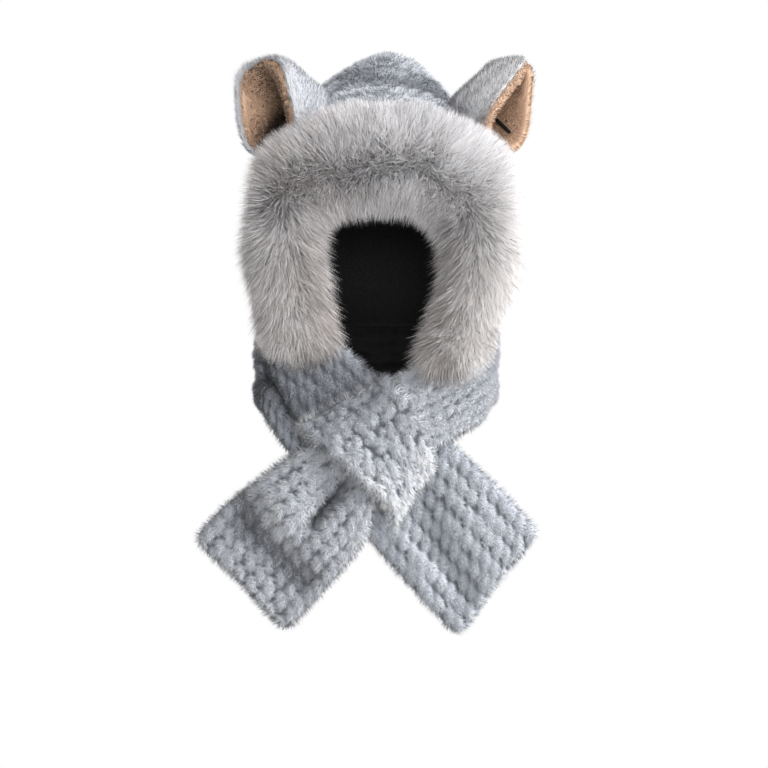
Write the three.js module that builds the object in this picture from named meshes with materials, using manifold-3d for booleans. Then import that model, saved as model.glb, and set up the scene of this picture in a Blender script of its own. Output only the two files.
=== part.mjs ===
// Hooded scarf: a knitted hood with a deep fur ruff round the face, two cup-shaped plush ears, and one
// long knitted scarf. The scarf's right band is drawn through a loop sewn on its left band.
// Millimetres, +Z up. The face looks along -Y, and left and right are those of the view along +Y.
// The origin is on the crown of the head that wears it, under the hood's wall.
import * as THREE from "three";
import { mergeVertices } from "three/addons/utils/BufferGeometryUtils.js";
import Module from "manifold-3d";

// Driving dimensions.
const HOOD_WALL = 9; // knitted fur yarn on its net, pile included
const SCARF_THICKNESS = 13;
const LOOP_THICKNESS = 12;
const EAR_BACK_WALL = 5;
const EAR_LINING_WALL = 5;
const EAR_HALF_WIDTH = 44;
const EAR_DEPTH = 67;
const TACK_LENGTH = 20;
const TACK_DIAMETER = 3.6;
const TACK_RISE = 0.55; // of the diameter: how high its middle stands over the lining
const PIECE_GAP = 0.3;
const EAR_LAYER_GAP = 0.7; // the plush layers' facets bend, so they stand a little further apart

// How finely the smooth shapes are cut into facets.
const HOOD_STEPS = 2;
const HOOD_ARCH_POINTS = 23;
const RUFF_STEPS = 3;
const RUFF_SECTION_POINTS = 14;
const EAR_STEPS = 1;
const EAR_RING_SPANS = 12;
const SCARF_STEPS = 3;
const SCARF_ACROSS = 9;
const LOOP_STEPS = 3;
const LOOP_ACROSS = 7;

// The hood's arches from the face rim to the nape. Each runs from one side of the neck edge over the
// crest to the other side: side is its half width below the crest, shoulder its half width near the top.
const HOOD_ARCHES = [
  { name: "face rim", crestY: -76, crestZ: 4, footX: 100, footY: -84, footZ: -206, side: 104, shoulder: 74 },
  { name: "behind the ruff", crestY: -52, crestZ: 18, footX: 103, footY: -62, footZ: -206, side: 107, shoulder: 73 },
  { name: "front ridge", crestY: -30, crestZ: 31, footX: 104, footY: -42, footZ: -207, side: 109, shoulder: 72 },
  { name: "crease", crestY: -10, crestZ: 33, footX: 105, footY: -22, footZ: -207, side: 108, shoulder: 63 },
  { name: "back ridge", crestY: 14, crestZ: 54, footX: 105, footY: -2, footZ: -208, side: 109, shoulder: 64 },
  { name: "below the peak", crestY: 42, crestZ: 67, footX: 102, footY: 18, footZ: -208, side: 108, shoulder: 58 },
  { name: "peak", crestY: 72, crestZ: 72, footX: 98, footY: 36, footZ: -208, side: 105, shoulder: 55 },
  { name: "back of the peak", crestY: 98, crestZ: 58, footX: 92, footY: 51, footZ: -208, side: 100, shoulder: 55 },
  { name: "back of the crown", crestY: 114, crestZ: 14, footX: 85, footY: 64, footZ: -208, side: 95, shoulder: 56 },
  { name: "back of the head", crestY: 119, crestZ: -45, footX: 76, footY: 76, footZ: -208, side: 86, shoulder: 58 },
  { name: "under the back", crestY: 117, crestZ: -110, footX: 66, footY: 86, footZ: -208, side: 73, shoulder: 50 },
  { name: "over the nape", crestY: 111, crestZ: -166, footX: 56, footY: 93, footZ: -208, side: 58, shoulder: 38 },
  { name: "nape", crestY: 105, crestZ: -208, footX: 48, footY: 97, footZ: -208, side: 38, shoulder: 18 },
];
const SIDE_HEIGHT = 0.45;
const SHOULDER_HEIGHT = 0.89;

// The ruff's sections from the left leg's end over the forehead to the right leg's end: the inner and
// outer edge of the fur as seen from the front, and how far forward and back it reaches.
const RUFF_SECTIONS = [
  { name: "left end", inX: -35, inZ: -249, outX: -126, outZ: -249, front: -127, back: -86 },
  { name: "left low", inX: -40, inZ: -206, outX: -134, outZ: -206, front: -125, back: -72 },
  { name: "left middle", inX: -49, inZ: -143, outX: -145, outZ: -138, front: -121, back: -56 },
  { name: "left high", inX: -49, inZ: -115, outX: -143, outZ: -94, front: -119, back: -52 },
  { name: "left corner", inX: -43, inZ: -107, outX: -125, outZ: -27, front: -117, back: -50 },
  { name: "left of the top", inX: -20, inZ: -104, outX: -60, outZ: 9, front: -117, back: -50 },
  { name: "top", inX: 0, inZ: -104, outX: 0, outZ: 14, front: -118, back: -50 },
  { name: "right of the top", inX: 22, inZ: -106, outX: 64, outZ: 10, front: -117, back: -50 },
  { name: "right corner", inX: 42, inZ: -116, outX: 124, outZ: -30, front: -117, back: -50 },
  { name: "right high", inX: 50, inZ: -133, outX: 136, outZ: -99, front: -119, back: -52 },
  { name: "right middle", inX: 45, inZ: -163, outX: 139, outZ: -148, front: -122, back: -58 },
  { name: "right low", inX: 33, inZ: -202, outX: 122, outZ: -200, front: -129, back: -76 },
  { name: "right foot", inX: 20, inZ: -240, outX: 119, outZ: -220, front: -136, back: -98 },
  { name: "right end", inX: 42, inZ: -274, outX: 117, outZ: -232, front: -135, back: -106 },
];
const RUFF_SQUARENESS = 2.6;

// The scarf's rows from the end of the right tail, up under the loop, round the neck from left to right,
// and down through the loop to the end of the left tail. up and low are its two long edges. crown is how
// far its middle bulges outward, and groove how deep the fold along it is, at grooveAt of its half width.
const SCARF_ROWS = [
  { name: "right tail end", upX: 153, upY: -92, upZ: -409, lowX: 73, lowY: -95, lowZ: -511, crown: 2, groove: 1, grooveAt: -0.4, thick: 1 },
  { name: "right tail middle", upX: 112, upY: -90, upZ: -368, lowX: 29, lowY: -92, lowZ: -469, crown: 5, groove: 5, grooveAt: -0.35, thick: 1 },
  { name: "right tail start", upX: 71, upY: -86, upZ: -327, lowX: -12, lowY: -86, lowZ: -426, crown: 4, groove: 4, grooveAt: -0.3, thick: 1 },
  { name: "left band under the loop", upX: 16, upY: -83, upZ: -277, lowX: -55, lowY: -83, lowZ: -378, crown: 2, groove: 0, grooveAt: 0, thick: 1 },
  { name: "left band front", upX: -39, upY: -78, upZ: -228, lowX: -98, lowY: -78, lowZ: -330, crown: 3, groove: 4, grooveAt: -0.45, thick: 1 },
  { name: "left band corner", upX: -81, upY: -66, upZ: -206, lowX: -117, lowY: -62, lowZ: -299, crown: 6, groove: 7, grooveAt: -0.4, thick: 1 },
  { name: "left of the neck front", upX: -105, upY: -38, upZ: -199, lowX: -123, lowY: -32, lowZ: -288, crown: 6, groove: 7, grooveAt: -0.35, thick: 1 },
  { name: "left of the neck", upX: -111, upY: 5, upZ: -197, lowX: -125, lowY: 12, lowZ: -288, crown: 6, groove: 4, grooveAt: -0.3, thick: 1 },
  { name: "left of the nape", upX: -98, upY: 53, upZ: -197, lowX: -112, lowY: 64, lowZ: -290, crown: 7, groove: 2, grooveAt: -0.3, thick: 1 },
  { name: "nape left", upX: -62, upY: 94, upZ: -198, lowX: -73, lowY: 111, lowZ: -293, crown: 8, groove: 2, grooveAt: -0.3, thick: 1 },
  { name: "nape", upX: 0, upY: 111, upZ: -198, lowX: 0, lowY: 132, lowZ: -294, crown: 8, groove: 3, grooveAt: -0.3, thick: 1 },
  { name: "nape right", upX: 62, upY: 94, upZ: -198, lowX: 71, lowY: 110, lowZ: -292, crown: 8, groove: 2, grooveAt: -0.3, thick: 1 },
  { name: "right of the nape", upX: 98, upY: 53, upZ: -197, lowX: 111, lowY: 62, lowZ: -288, crown: 8, groove: 2, grooveAt: -0.3, thick: 1 },
  { name: "right of the neck", upX: 110, upY: 5, upZ: -199, lowX: 116, lowY: 8, lowZ: -284, crown: 7, groove: 3, grooveAt: -0.2, thick: 1 },
  { name: "right of the neck front", upX: 100, upY: -46, upZ: -208, lowX: 108, lowY: -46, lowZ: -294, crown: 7, groove: 5, grooveAt: -0.1, thick: 1 },
  { name: "right band corner", upX: 62, upY: -88, upZ: -226, lowX: 88, lowY: -86, lowZ: -309, crown: 5, groove: 5, grooveAt: 0, thick: 1.05 },
  { name: "right band into the loop", upX: 14, upY: -104, upZ: -256, lowX: 47, lowY: -104, lowZ: -333, crown: 2, groove: 2, grooveAt: 0, thick: 1.2 },
  { name: "right band in the loop", upX: -28, upY: -106, upZ: -301, lowX: 2, lowY: -106, lowZ: -363, crown: 0, groove: 0, grooveAt: 0, thick: 1.35 },
  { name: "left tail start", upX: -84, upY: -104, upZ: -328, lowX: -18, lowY: -104, lowZ: -420, crown: 7, groove: 8, grooveAt: -0.05, thick: 1.1 },
  { name: "left tail mound", upX: -123, upY: -103, upZ: -358, lowX: -43, lowY: -103, lowZ: -452, crown: 11, groove: 5, grooveAt: -0.1, thick: 1 },
  { name: "left tail trough", upX: -157, upY: -102, upZ: -385, lowX: -66, lowY: -101, lowZ: -478, crown: 1, groove: 1, grooveAt: 0, thick: 1 },
  { name: "left tail end", upX: -187, upY: -99, upZ: -413, lowX: -93, lowY: -98, lowZ: -510, crown: 5, groove: 0, grooveAt: 0, thick: 1 },
];
const GROOVE_HALF_WIDTH = 0.22; // of the scarf's half width
const EDGE_THINNING = 0.4; // how much thinner a strip is at its long edges

// The loop's rows from its upper left seam to its lower right seam, over the right band.
const LOOP_ROWS = [
  { name: "upper left seam", upX: 3, upY: -100, upZ: -255, lowX: -87, lowY: -98, lowZ: -306, crown: 1, thick: 0.9 },
  { name: "rise", upX: 15, upY: -116, upZ: -270, lowX: -68, lowY: -117, lowZ: -325, crown: 3, thick: 1 },
  { name: "upper middle", upX: 29, upY: -123, upZ: -289, lowX: -46, lowY: -124, lowZ: -341, crown: 4, thick: 1 },
  { name: "lower middle", upX: 39, upY: -123, upZ: -311, lowX: -24, lowY: -124, lowZ: -362, crown: 4, thick: 1 },
  { name: "fall", upX: 45, upY: -115, upZ: -331, lowX: -1, lowY: -115, lowZ: -381, crown: 3, thick: 1 },
  { name: "lower right seam", upX: 46, upY: -99, upZ: -344, lowX: 16, lowY: -99, lowZ: -399, crown: 1, thick: 0.9 },
];

// The ears stand on the hood's two front corners: where the mouth's foot and the tip are, and how far the
// mouth turns outward from straight ahead.
const EARS = [
  { name: "left", foot: [-98, -50, -40], tip: [-116, -46, 60], turn: -42 },
  { name: "right", foot: [108, -48, -38], tip: [134, -40, 60], turn: 60 },
];
// An ear's outline from its foot to its tip: half width and depth as shares of the greatest.
const EAR_OUTLINE = [
  { height: 0, width: 0.4, depth: 1.04 },
  { height: 0.16, width: 0.74, depth: 1.04 },
  { height: 0.34, width: 0.92, depth: 1.02 },
  { height: 0.52, width: 1, depth: 0.96 },
  { height: 0.66, width: 0.95, depth: 0.78 },
  { height: 0.78, width: 0.85, depth: 0.57 },
  { height: 0.88, width: 0.69, depth: 0.38 },
  { height: 0.96, width: 0.48, depth: 0.22 },
  { height: 1, width: 0.16, depth: 0.1 },
];
const EAR_SWEEP = 98; // degrees from the middle of the back to each rim
const EAR_LIP = 8; // how many degrees further the lining rolls forward
const TACK_PLACE = { height: 0.4, sweep: 66, tilt: -50 };

const wasm = await Module();
wasm.setup();

const FINISHES = {
  knit: { color: 0x9aa3ae, roughness: 0.95, metalness: 0 },
  fur: { color: 0xbdb8b4, roughness: 0.9, metalness: 0 },
  earBack: { color: 0xc4c8cc, roughness: 0.95, metalness: 0 },
  earLining: { color: 0xb98c6c, roughness: 0.95, metalness: 0 },
  thread: { color: 0x14100d, roughness: 0.7, metalness: 0 },
};

// One value on the smooth curve through four neighbours, between the middle two.
function smoothBetween(before, start, end, after, share) {
  const slopeStart = (end - before) / 2;
  const slopeEnd = (after - start) / 2;
  const a = 2 * start - 2 * end + slopeStart + slopeEnd;
  const b = -3 * start + 3 * end - 2 * slopeStart - slopeEnd;
  return ((a * share + b) * share + slopeStart) * share + start;
}

// A table's rows with `steps` smooth rows from each row to the next.
function smoothRows(table, steps) {
  const rowAt = (index) => table[Math.min(Math.max(index, 0), table.length - 1)];
  const rows = [];
  for (let index = 0; index < table.length; index += 1) {
    const count = index === table.length - 1 ? 1 : steps;
    for (let step = 0; step < count; step += 1) {
      const row = {};
      for (const key of Object.keys(table[index]).filter((name) => name !== "name")) {
        const values = [-1, 0, 1, 2].map((offset) => rowAt(index + offset)[key]);
        row[key] = smoothBetween(...values, step / steps);
      }
      rows.push(row);
    }
  }
  return rows;
}

// A closed geometry from loops of points, each joined to the next, with the first and last closed by fans.
function closedFromLoops(loops) {
  const count = loops[0].length;
  const positions = loops.flat().flatMap((point) => point.toArray());
  const faces = [];
  for (let ring = 0; ring < loops.length - 1; ring += 1) {
    for (let side = 0; side < count; side += 1) {
      const next = (side + 1) % count;
      const a = ring * count + side;
      const b = ring * count + next;
      faces.push(a, b, b + count, a, b + count, a + count);
    }
  }
  const last = (loops.length - 1) * count;
  for (const [start, turned] of [[0, true], [last, false]]) {
    const centre = positions.length / 3;
    const middle = new THREE.Vector3();
    const ring = loops[start / count];
    ring.forEach((point) => middle.addScaledVector(point, 1 / count));
    positions.push(...middle.toArray());
    for (let side = 0; side < count; side += 1) {
      const next = start + ((side + 1) % count);
      faces.push(centre, ...(turned ? [next, start + side] : [start + side, next]));
    }
  }
  return closedGeometry(positions, faces);
}

// A closed wall along a grid of points. facesAt gives how far its outer and its inner face lie outside
// the grid at a row and column; a face inside the grid has a negative distance.
function closedWall(grid, facesAt) {
  const rows = grid.length;
  const columns = grid[0].length;
  const near = (list, index) => list[Math.min(Math.max(index, 0), list.length - 1)];
  const normalAt = (row, column) => {
    const along = near(grid, row + 1)[column].clone().sub(near(grid, row - 1)[column]);
    const across = near(grid[row], column + 1).clone().sub(near(grid[row], column - 1));
    return across.cross(along).normalize();
  };
  const positions = [];
  for (const face of [0, 1]) {
    for (let row = 0; row < rows; row += 1) {
      for (let column = 0; column < columns; column += 1) {
        const point = grid[row][column].clone();
        point.addScaledVector(normalAt(row, column), facesAt(row, column)[face]);
        positions.push(...point.toArray());
      }
    }
  }
  const faces = [];
  const quad = (a, b, c, d) => faces.push(a, b, c, a, c, d);
  const at = (side, row, column) => side * rows * columns + row * columns + column;
  for (let row = 0; row < rows - 1; row += 1) {
    for (let column = 0; column < columns - 1; column += 1) {
      quad(at(0, row, column), at(0, row, column + 1), at(0, row + 1, column + 1), at(0, row + 1, column));
      quad(at(1, row, column), at(1, row + 1, column), at(1, row + 1, column + 1), at(1, row, column + 1));
    }
  }
  for (let row = 0; row < rows - 1; row += 1) {
    const end = columns - 1;
    quad(at(0, row, 0), at(0, row + 1, 0), at(1, row + 1, 0), at(1, row, 0));
    quad(at(0, row, end), at(1, row, end), at(1, row + 1, end), at(0, row + 1, end));
  }
  for (let column = 0; column < columns - 1; column += 1) {
    const end = rows - 1;
    quad(at(0, 0, column), at(1, 0, column), at(1, 0, column + 1), at(0, 0, column + 1));
    quad(at(0, end, column), at(0, end, column + 1), at(1, end, column + 1), at(1, end, column));
  }
  return closedGeometry(positions, faces);
}

// A geometry from positions and faces, turned so that its faces point out.
function closedGeometry(positions, faces) {
  const geometry = new THREE.BufferGeometry();
  geometry.setAttribute("position", new THREE.Float32BufferAttribute(positions, 3));
  geometry.setIndex(faces);
  if (signedVolume(geometry) < 0) {
    for (let index = 0; index < faces.length; index += 3) {
      [faces[index + 1], faces[index + 2]] = [faces[index + 2], faces[index + 1]];
    }
    geometry.setIndex(faces);
  }
  return geometry;
}

function signedVolume(geometry) {
  const position = geometry.getAttribute("position");
  const corner = (index) => new THREE.Vector3().fromBufferAttribute(position, geometry.index.array[index]);
  let volume = 0;
  for (let index = 0; index < geometry.index.count; index += 3) {
    volume += corner(index).dot(corner(index + 1).cross(corner(index + 2))) / 6;
  }
  return volume;
}

function solidOf(geometry) {
  const bare = geometry.clone();
  bare.deleteAttribute("normal");
  bare.deleteAttribute("uv");
  const merged = mergeVertices(bare, 1e-4);
  const mesh = new wasm.Mesh({
    numProp: 3,
    vertProperties: new Float32Array(merged.getAttribute("position").array),
    triVerts: new Uint32Array(merged.index.array),
  });
  return new wasm.Manifold(mesh);
}

function geometryOf(solid) {
  const mesh = solid.getMesh();
  const geometry = new THREE.BufferGeometry();
  geometry.setAttribute("position", new THREE.BufferAttribute(new Float32Array(mesh.vertProperties), 3));
  geometry.setIndex(new THREE.BufferAttribute(new Uint32Array(mesh.triVerts), 1));
  return geometry;
}

// A solid with its whole face moved out, which a neighbour is cut by to keep the gap between them.
function roomAround(geometry) {
  const grown = mergeVertices(geometry.clone(), 1e-4);
  grown.computeVertexNormals();
  const position = grown.getAttribute("position");
  const normal = grown.getAttribute("normal");
  const reach = PIECE_GAP * 1.5;
  for (let index = 0; index < position.count; index += 1) {
    position.setXYZ(
      index,
      position.getX(index) + normal.getX(index) * reach,
      position.getY(index) + normal.getY(index) * reach,
      position.getZ(index) + normal.getZ(index) * reach,
    );
  }
  return solidOf(grown);
}

// What is left of a piece beside its neighbours, as one body.
function fittedBeside(geometry, ...neighbours) {
  let solid = solidOf(geometry);
  for (const neighbour of neighbours) solid = solid.subtract(roomAround(neighbour));
  const bodies = solid.decompose().sort((one, other) => other.volume() - one.volume());
  return geometryOf(bodies[0].simplify(0.02));
}

function hoodShell() {
  const outerFace = smoothRows(HOOD_ARCHES, HOOD_STEPS).map((arch) => {
    const height = (share) => [
      arch.footY + (arch.crestY - arch.footY) * share,
      arch.footZ + (arch.crestZ - arch.footZ) * share,
    ];
    const half = [
      new THREE.Vector3(-arch.footX, ...height(0)),
      new THREE.Vector3(-arch.side, ...height(SIDE_HEIGHT)),
      new THREE.Vector3(-arch.shoulder, ...height(SHOULDER_HEIGHT)),
    ];
    const crest = new THREE.Vector3(0, ...height(1));
    const mirrored = half.map((point) => new THREE.Vector3(-point.x, point.y, point.z)).reverse();
    const curve = new THREE.CatmullRomCurve3([...half, crest, ...mirrored], false, "centripetal");
    return curve.getSpacedPoints(HOOD_ARCH_POINTS - 1);
  });
  return closedWall(outerFace, () => [0, -HOOD_WALL]);
}

function ruffForm() {
  const loops = smoothRows(RUFF_SECTIONS, RUFF_STEPS).map((section) => {
    const middle = new THREE.Vector3(
      (section.inX + section.outX) / 2,
      (section.front + section.back) / 2,
      (section.inZ + section.outZ) / 2,
    );
    const outward = new THREE.Vector3(section.outX, 0, section.outZ).sub(
      new THREE.Vector3(section.inX, 0, section.inZ),
    );
    const halfDepth = (section.back - section.front) / 2;
    const power = 2 / RUFF_SQUARENESS;
    return Array.from({ length: RUFF_SECTION_POINTS }, (_, index) => {
      const angle = (index / RUFF_SECTION_POINTS) * 2 * Math.PI;
      const across = Math.sign(Math.cos(angle)) * Math.abs(Math.cos(angle)) ** power;
      const back = Math.sign(Math.sin(angle)) * Math.abs(Math.sin(angle)) ** power;
      const point = middle.clone().addScaledVector(outward, across / 2);
      point.y += back * halfDepth;
      return point;
    });
  });
  return closedFromLoops(loops);
}

// A knitted strip between the two long edges that its rows give, bulged and grooved along its middle.
function knitStrip(table, steps, columns, thickness) {
  const rows = smoothRows(table, steps);
  const edges = rows.map((row) => ({
    up: new THREE.Vector3(row.upX, row.upY, row.upZ),
    low: new THREE.Vector3(row.lowX, row.lowY, row.lowZ),
  }));
  const middles = edges.map(({ up, low }) => up.clone().add(low).multiplyScalar(0.5));
  const near = (list, index) => list[Math.min(Math.max(index, 0), list.length - 1)];
  const grid = rows.map((row, index) => {
    const along = near(middles, index + 1).clone().sub(near(middles, index - 1));
    const upward = edges[index].up.clone().sub(edges[index].low);
    const outward = upward.clone().cross(along).normalize();
    return Array.from({ length: columns }, (_, column) => {
      const place = (column / (columns - 1)) * 2 - 1;
      const fold = ((place - (row.grooveAt ?? 0)) / GROOVE_HALF_WIDTH) ** 2;
      const rise = row.crown * (1 - place ** 2) - (row.groove ?? 0) * Math.exp(-fold);
      const across = edges[index].low.clone().addScaledVector(upward, (place + 1) / 2);
      return across.addScaledVector(outward, rise);
    });
  });
  const facesAt = (row, column) => {
    const place = (column / (columns - 1)) * 2 - 1;
    const half = (thickness * rows[row].thick * (1 - EDGE_THINNING * place ** 6)) / 2;
    return [half, -half];
  };
  return closedWall(grid, facesAt);
}

// The frame that an ear is drawn in: its foot, the way up it, the way its mouth faces, and sideways.
function earFrame(ear) {
  const foot = new THREE.Vector3(...ear.foot);
  const up = new THREE.Vector3(...ear.tip).sub(foot).normalize();
  const turn = THREE.MathUtils.degToRad(ear.turn);
  const mouth = new THREE.Vector3(Math.sin(turn), -Math.cos(turn), 0);
  mouth.addScaledVector(up, -mouth.dot(up)).normalize();
  const side = up.clone().cross(mouth);
  return { foot, up, mouth, side, height: foot.distanceTo(new THREE.Vector3(...ear.tip)) };
}

// A point of an ear's outer face, `sweep` degrees round from the middle of its back.
function earPoint(frame, outline, sweep) {
  const angle = THREE.MathUtils.degToRad(sweep);
  return frame.foot
    .clone()
    .addScaledVector(frame.up, outline.height * frame.height)
    .addScaledVector(frame.side, EAR_HALF_WIDTH * outline.width * Math.sin(angle))
    .addScaledVector(frame.mouth, -EAR_DEPTH * outline.depth * Math.cos(angle));
}

// One layer of an ear, from `inset` under its outer face, up to the outline's row `tipRow`. A lip is
// how many degrees its rims go on past the rims of the ear's back.
function earWall(frame, inset, wall, tipRow, lip) {
  const sweeps = [];
  for (let span = 0; span <= EAR_RING_SPANS; span += 1) {
    sweeps.push(EAR_SWEEP * (1 - (2 * span) / EAR_RING_SPANS));
  }
  if (lip > 0) {
    sweeps.unshift(EAR_SWEEP + lip);
    sweeps.push(-EAR_SWEEP - lip);
  }
  const grid = smoothRows(EAR_OUTLINE.slice(0, tipRow), EAR_STEPS).map((outline) =>
    sweeps.map((sweep) => earPoint(frame, outline, sweep)),
  );
  return closedWall(grid, () => [-inset, -inset - wall]);
}

// The short bar of thread sewn on the lining, sunk a little so that its fitted underside lies along it.
function tackBar(frame) {
  const outline = EAR_OUTLINE.find((row) => row.height >= TACK_PLACE.height);
  const onBack = earPoint(frame, outline, TACK_PLACE.sweep);
  const across = earPoint(frame, outline, TACK_PLACE.sweep + 4).sub(onBack).normalize();
  const inward = across.clone().cross(frame.up).normalize();
  const tilt = THREE.MathUtils.degToRad(TACK_PLACE.tilt);
  const along = across.multiplyScalar(Math.cos(tilt)).addScaledVector(frame.up, Math.sin(tilt));
  const depth = EAR_BACK_WALL + EAR_LAYER_GAP + EAR_LINING_WALL + TACK_DIAMETER * TACK_RISE;
  const middle = onBack.addScaledVector(inward, depth);
  const half = along.multiplyScalar(TACK_LENGTH / 2);
  const section = new THREE.Shape().absarc(0, 0, TACK_DIAMETER / 2, 0, Math.PI * 2);
  const path = new THREE.LineCurve3(middle.clone().sub(half), middle.clone().add(half));
  return new THREE.ExtrudeGeometry(section, { steps: 1, curveSegments: 6, extrudePath: path });
}

function addPiece(group, name, geometry, finish) {
  const mesh = new THREE.Mesh(geometry.toNonIndexed(), new THREE.MeshStandardMaterial(finish));
  mesh.geometry.computeVertexNormals();
  mesh.name = name;
  group.add(mesh);
}

const hoodForm = hoodShell();
const ruffWhole = ruffForm();
const scarfForm = knitStrip(SCARF_ROWS, SCARF_STEPS, SCARF_ACROSS, SCARF_THICKNESS);
const loopForm = knitStrip(LOOP_ROWS, LOOP_STEPS, LOOP_ACROSS, LOOP_THICKNESS);

const hoodedScarf = new THREE.Group();
addPiece(hoodedScarf, "hood_shell", fittedBeside(hoodForm, ruffWhole), FINISHES.knit);
addPiece(hoodedScarf, "ruff", fittedBeside(ruffWhole, scarfForm), FINISHES.fur);
addPiece(hoodedScarf, "scarf", fittedBeside(scarfForm, hoodForm), FINISHES.knit);
addPiece(hoodedScarf, "scarf_loop", fittedBeside(loopForm, scarfForm, ruffWhole), FINISHES.knit);
for (const ear of EARS) {
  const frame = earFrame(ear);
  const tipRow = EAR_OUTLINE.length;
  const back = earWall(frame, 0, EAR_BACK_WALL, tipRow, 0);
  const lining = earWall(frame, EAR_BACK_WALL + EAR_LAYER_GAP, EAR_LINING_WALL, tipRow - 1, EAR_LIP);
  const backName = `ear_${ear.name}_back`;
  addPiece(hoodedScarf, backName, fittedBeside(back, ruffWhole, hoodForm), FINISHES.earBack);
  const liningName = `ear_${ear.name}_inner`;
  addPiece(hoodedScarf, liningName, fittedBeside(lining, ruffWhole, hoodForm), FINISHES.earLining);
  if (ear.name === "right") {
    addPiece(hoodedScarf, "ear_tack", fittedBeside(tackBar(frame), lining), FINISHES.thread);
  }
}

export default hoodedScarf;
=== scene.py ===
# A hooded scarf: a hood knitted from fur yarn with a deep fur ruff round the face, two plush ears, and
# one long knitted scarf whose right band is drawn through a loop sewn on its left band.
# Metres, +Z up, -Y out of the face opening. Tables of places and sizes are in millimetres.
import math

import bpy
import numpy as np
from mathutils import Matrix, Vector


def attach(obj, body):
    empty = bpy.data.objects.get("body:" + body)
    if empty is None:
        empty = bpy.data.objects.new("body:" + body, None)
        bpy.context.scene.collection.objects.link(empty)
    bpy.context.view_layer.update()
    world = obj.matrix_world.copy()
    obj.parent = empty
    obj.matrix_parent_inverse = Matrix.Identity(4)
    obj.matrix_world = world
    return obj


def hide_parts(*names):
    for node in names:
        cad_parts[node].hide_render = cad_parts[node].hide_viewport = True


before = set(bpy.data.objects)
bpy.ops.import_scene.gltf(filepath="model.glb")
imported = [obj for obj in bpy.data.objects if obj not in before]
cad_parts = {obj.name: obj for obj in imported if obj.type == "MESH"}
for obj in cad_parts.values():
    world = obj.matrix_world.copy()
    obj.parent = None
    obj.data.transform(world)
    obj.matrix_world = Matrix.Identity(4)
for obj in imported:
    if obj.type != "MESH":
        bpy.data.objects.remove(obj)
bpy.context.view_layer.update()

# The hood: a rectangle knitted from fur yarn, with its rows parallel to the face rim, folded over the
# head and sewn up the middle of the back, so that the fold's corner stands up as a peak.
MM = 0.001
# crest y, crest z, foot x, foot y, foot z, half width at the side, half width at the shoulder
HOOD_ARCHES = np.array(
    [
        (-76, 4, 100, -84, -206, 104, 74),
        (-52, 18, 103, -62, -206, 107, 73),
        (-30, 31, 104, -42, -207, 109, 72),
        (-10, 33, 105, -22, -207, 108, 63),
        (14, 54, 105, -2, -208, 109, 64),
        (42, 67, 102, 18, -208, 108, 58),
        (72, 72, 98, 36, -208, 105, 55),
        (98, 58, 92, 51, -208, 100, 55),
        (114, 14, 85, 64, -208, 95, 56),
        (119, -45, 76, 76, -208, 86, 58),
        (117, -110, 66, 86, -208, 73, 50),
        (111, -166, 56, 93, -208, 58, 38),
        (105, -208, 48, 97, -208, 38, 18),
    ],
    float,
)
SIDE_HEIGHT = 0.45
SHOULDER_HEIGHT = 0.89
HOOD_WALL = 9
HOOD_GRID = (86, 126)  # rows from rim to nape, points along each arch
STITCH_LENGTH = 13.3
ROW_SPACING = 16.5
ROW_SHIFT = 10.5
PUFF_HEIGHT = 6
PUFF_RADIUS = 0.6  # of a stitch
PIT_BELOW = 0.75  # the height under which a puff's foot is painted darker, as shade in the pit
PUFF_SHARE = 0.75  # of the way that the pile grows: the rest follows the smooth cloth
SEAM_WIDTH = 5  # of the seam up the middle of the back
SEAM_FROM = 66  # how far back it starts
HOOD_SLANT = 0.42
PEAK_SHIFT = 6  # of the peak to the right
LEFT_SWELL = 5  # of the left side beside the ear
HOOD_INSET = 2.4  # how far the tops of the puffs lie under the outer face of the pile


def between(here, there, slope, end_slope, share):
    """The smooth curve from here to there with the given slopes at its ends."""
    cubic = 2 * here - 2 * there + slope + end_slope
    square = -3 * here + 3 * there - 2 * slope - end_slope
    return ((cubic * share + square) * share + slope) * share + here


def smooth_rows(table, count):
    """The given count of evenly placed rows, on the smooth curve through all rows of a table."""
    places = np.linspace(0, len(table) - 1, count)
    start = np.minimum(places.astype(int), len(table) - 2)
    before, here, there, after = (
        table[np.clip(start + step, 0, len(table) - 1)] for step in (-1, 0, 1, 2)
    )
    return between(here, there, (there - before) / 2, (after - here) / 2, (places - start)[:, None])


def way_over(points):
    """How far along a line each of its points lies."""
    return np.concatenate([[0], np.cumsum(np.linalg.norm(np.diff(points, axis=0), axis=1))])


def read_at(wanted, way, values):
    """The values that belong to a line's points, at the wanted distances along it."""
    return np.stack([np.interp(wanted, way, column) for column in values.T], axis=1)


def spaced_curve(knots, count):
    """Points at even spacing on the centripetal curve through the knots."""
    knots = np.vstack([2 * knots[0] - knots[1], knots, 2 * knots[-1] - knots[-2]])
    gaps = np.linalg.norm(np.diff(knots, axis=0), axis=1) ** 0.5
    share = np.linspace(0, 1, 24, endpoint=False)[:, None]
    pieces = []
    for i in range(len(knots) - 3):
        a, b, c, d = knots[i : i + 4]
        before, here, after = gaps[i : i + 3]
        slope = ((b - a) / before - (c - a) / (before + here) + (c - b) / here) * here
        end_slope = ((c - b) / here - (d - b) / (here + after) + (d - c) / after) * here
        pieces.append(between(b, c, slope, end_slope, share))
    fine = np.vstack(pieces + [knots[-2:-1]])
    way = way_over(fine)
    return read_at(np.linspace(0, way[-1], count), way, fine)


def within(values):
    """The values, none under 0 or over 1."""
    return np.clip(values, 0, 1)


def bell(distance, width):
    """1 where the distance is 0, and softly less away from there."""
    return np.exp(-((distance / width) ** 2))


def unit(vectors):
    return vectors / np.maximum(np.linalg.norm(vectors, axis=-1, keepdims=True), 1e-9)


def grid_slopes(field):
    """How a field on a grid changes from row to row and from column to column."""
    return np.gradient(field, axis=0), np.gradient(field, axis=1)


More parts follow.
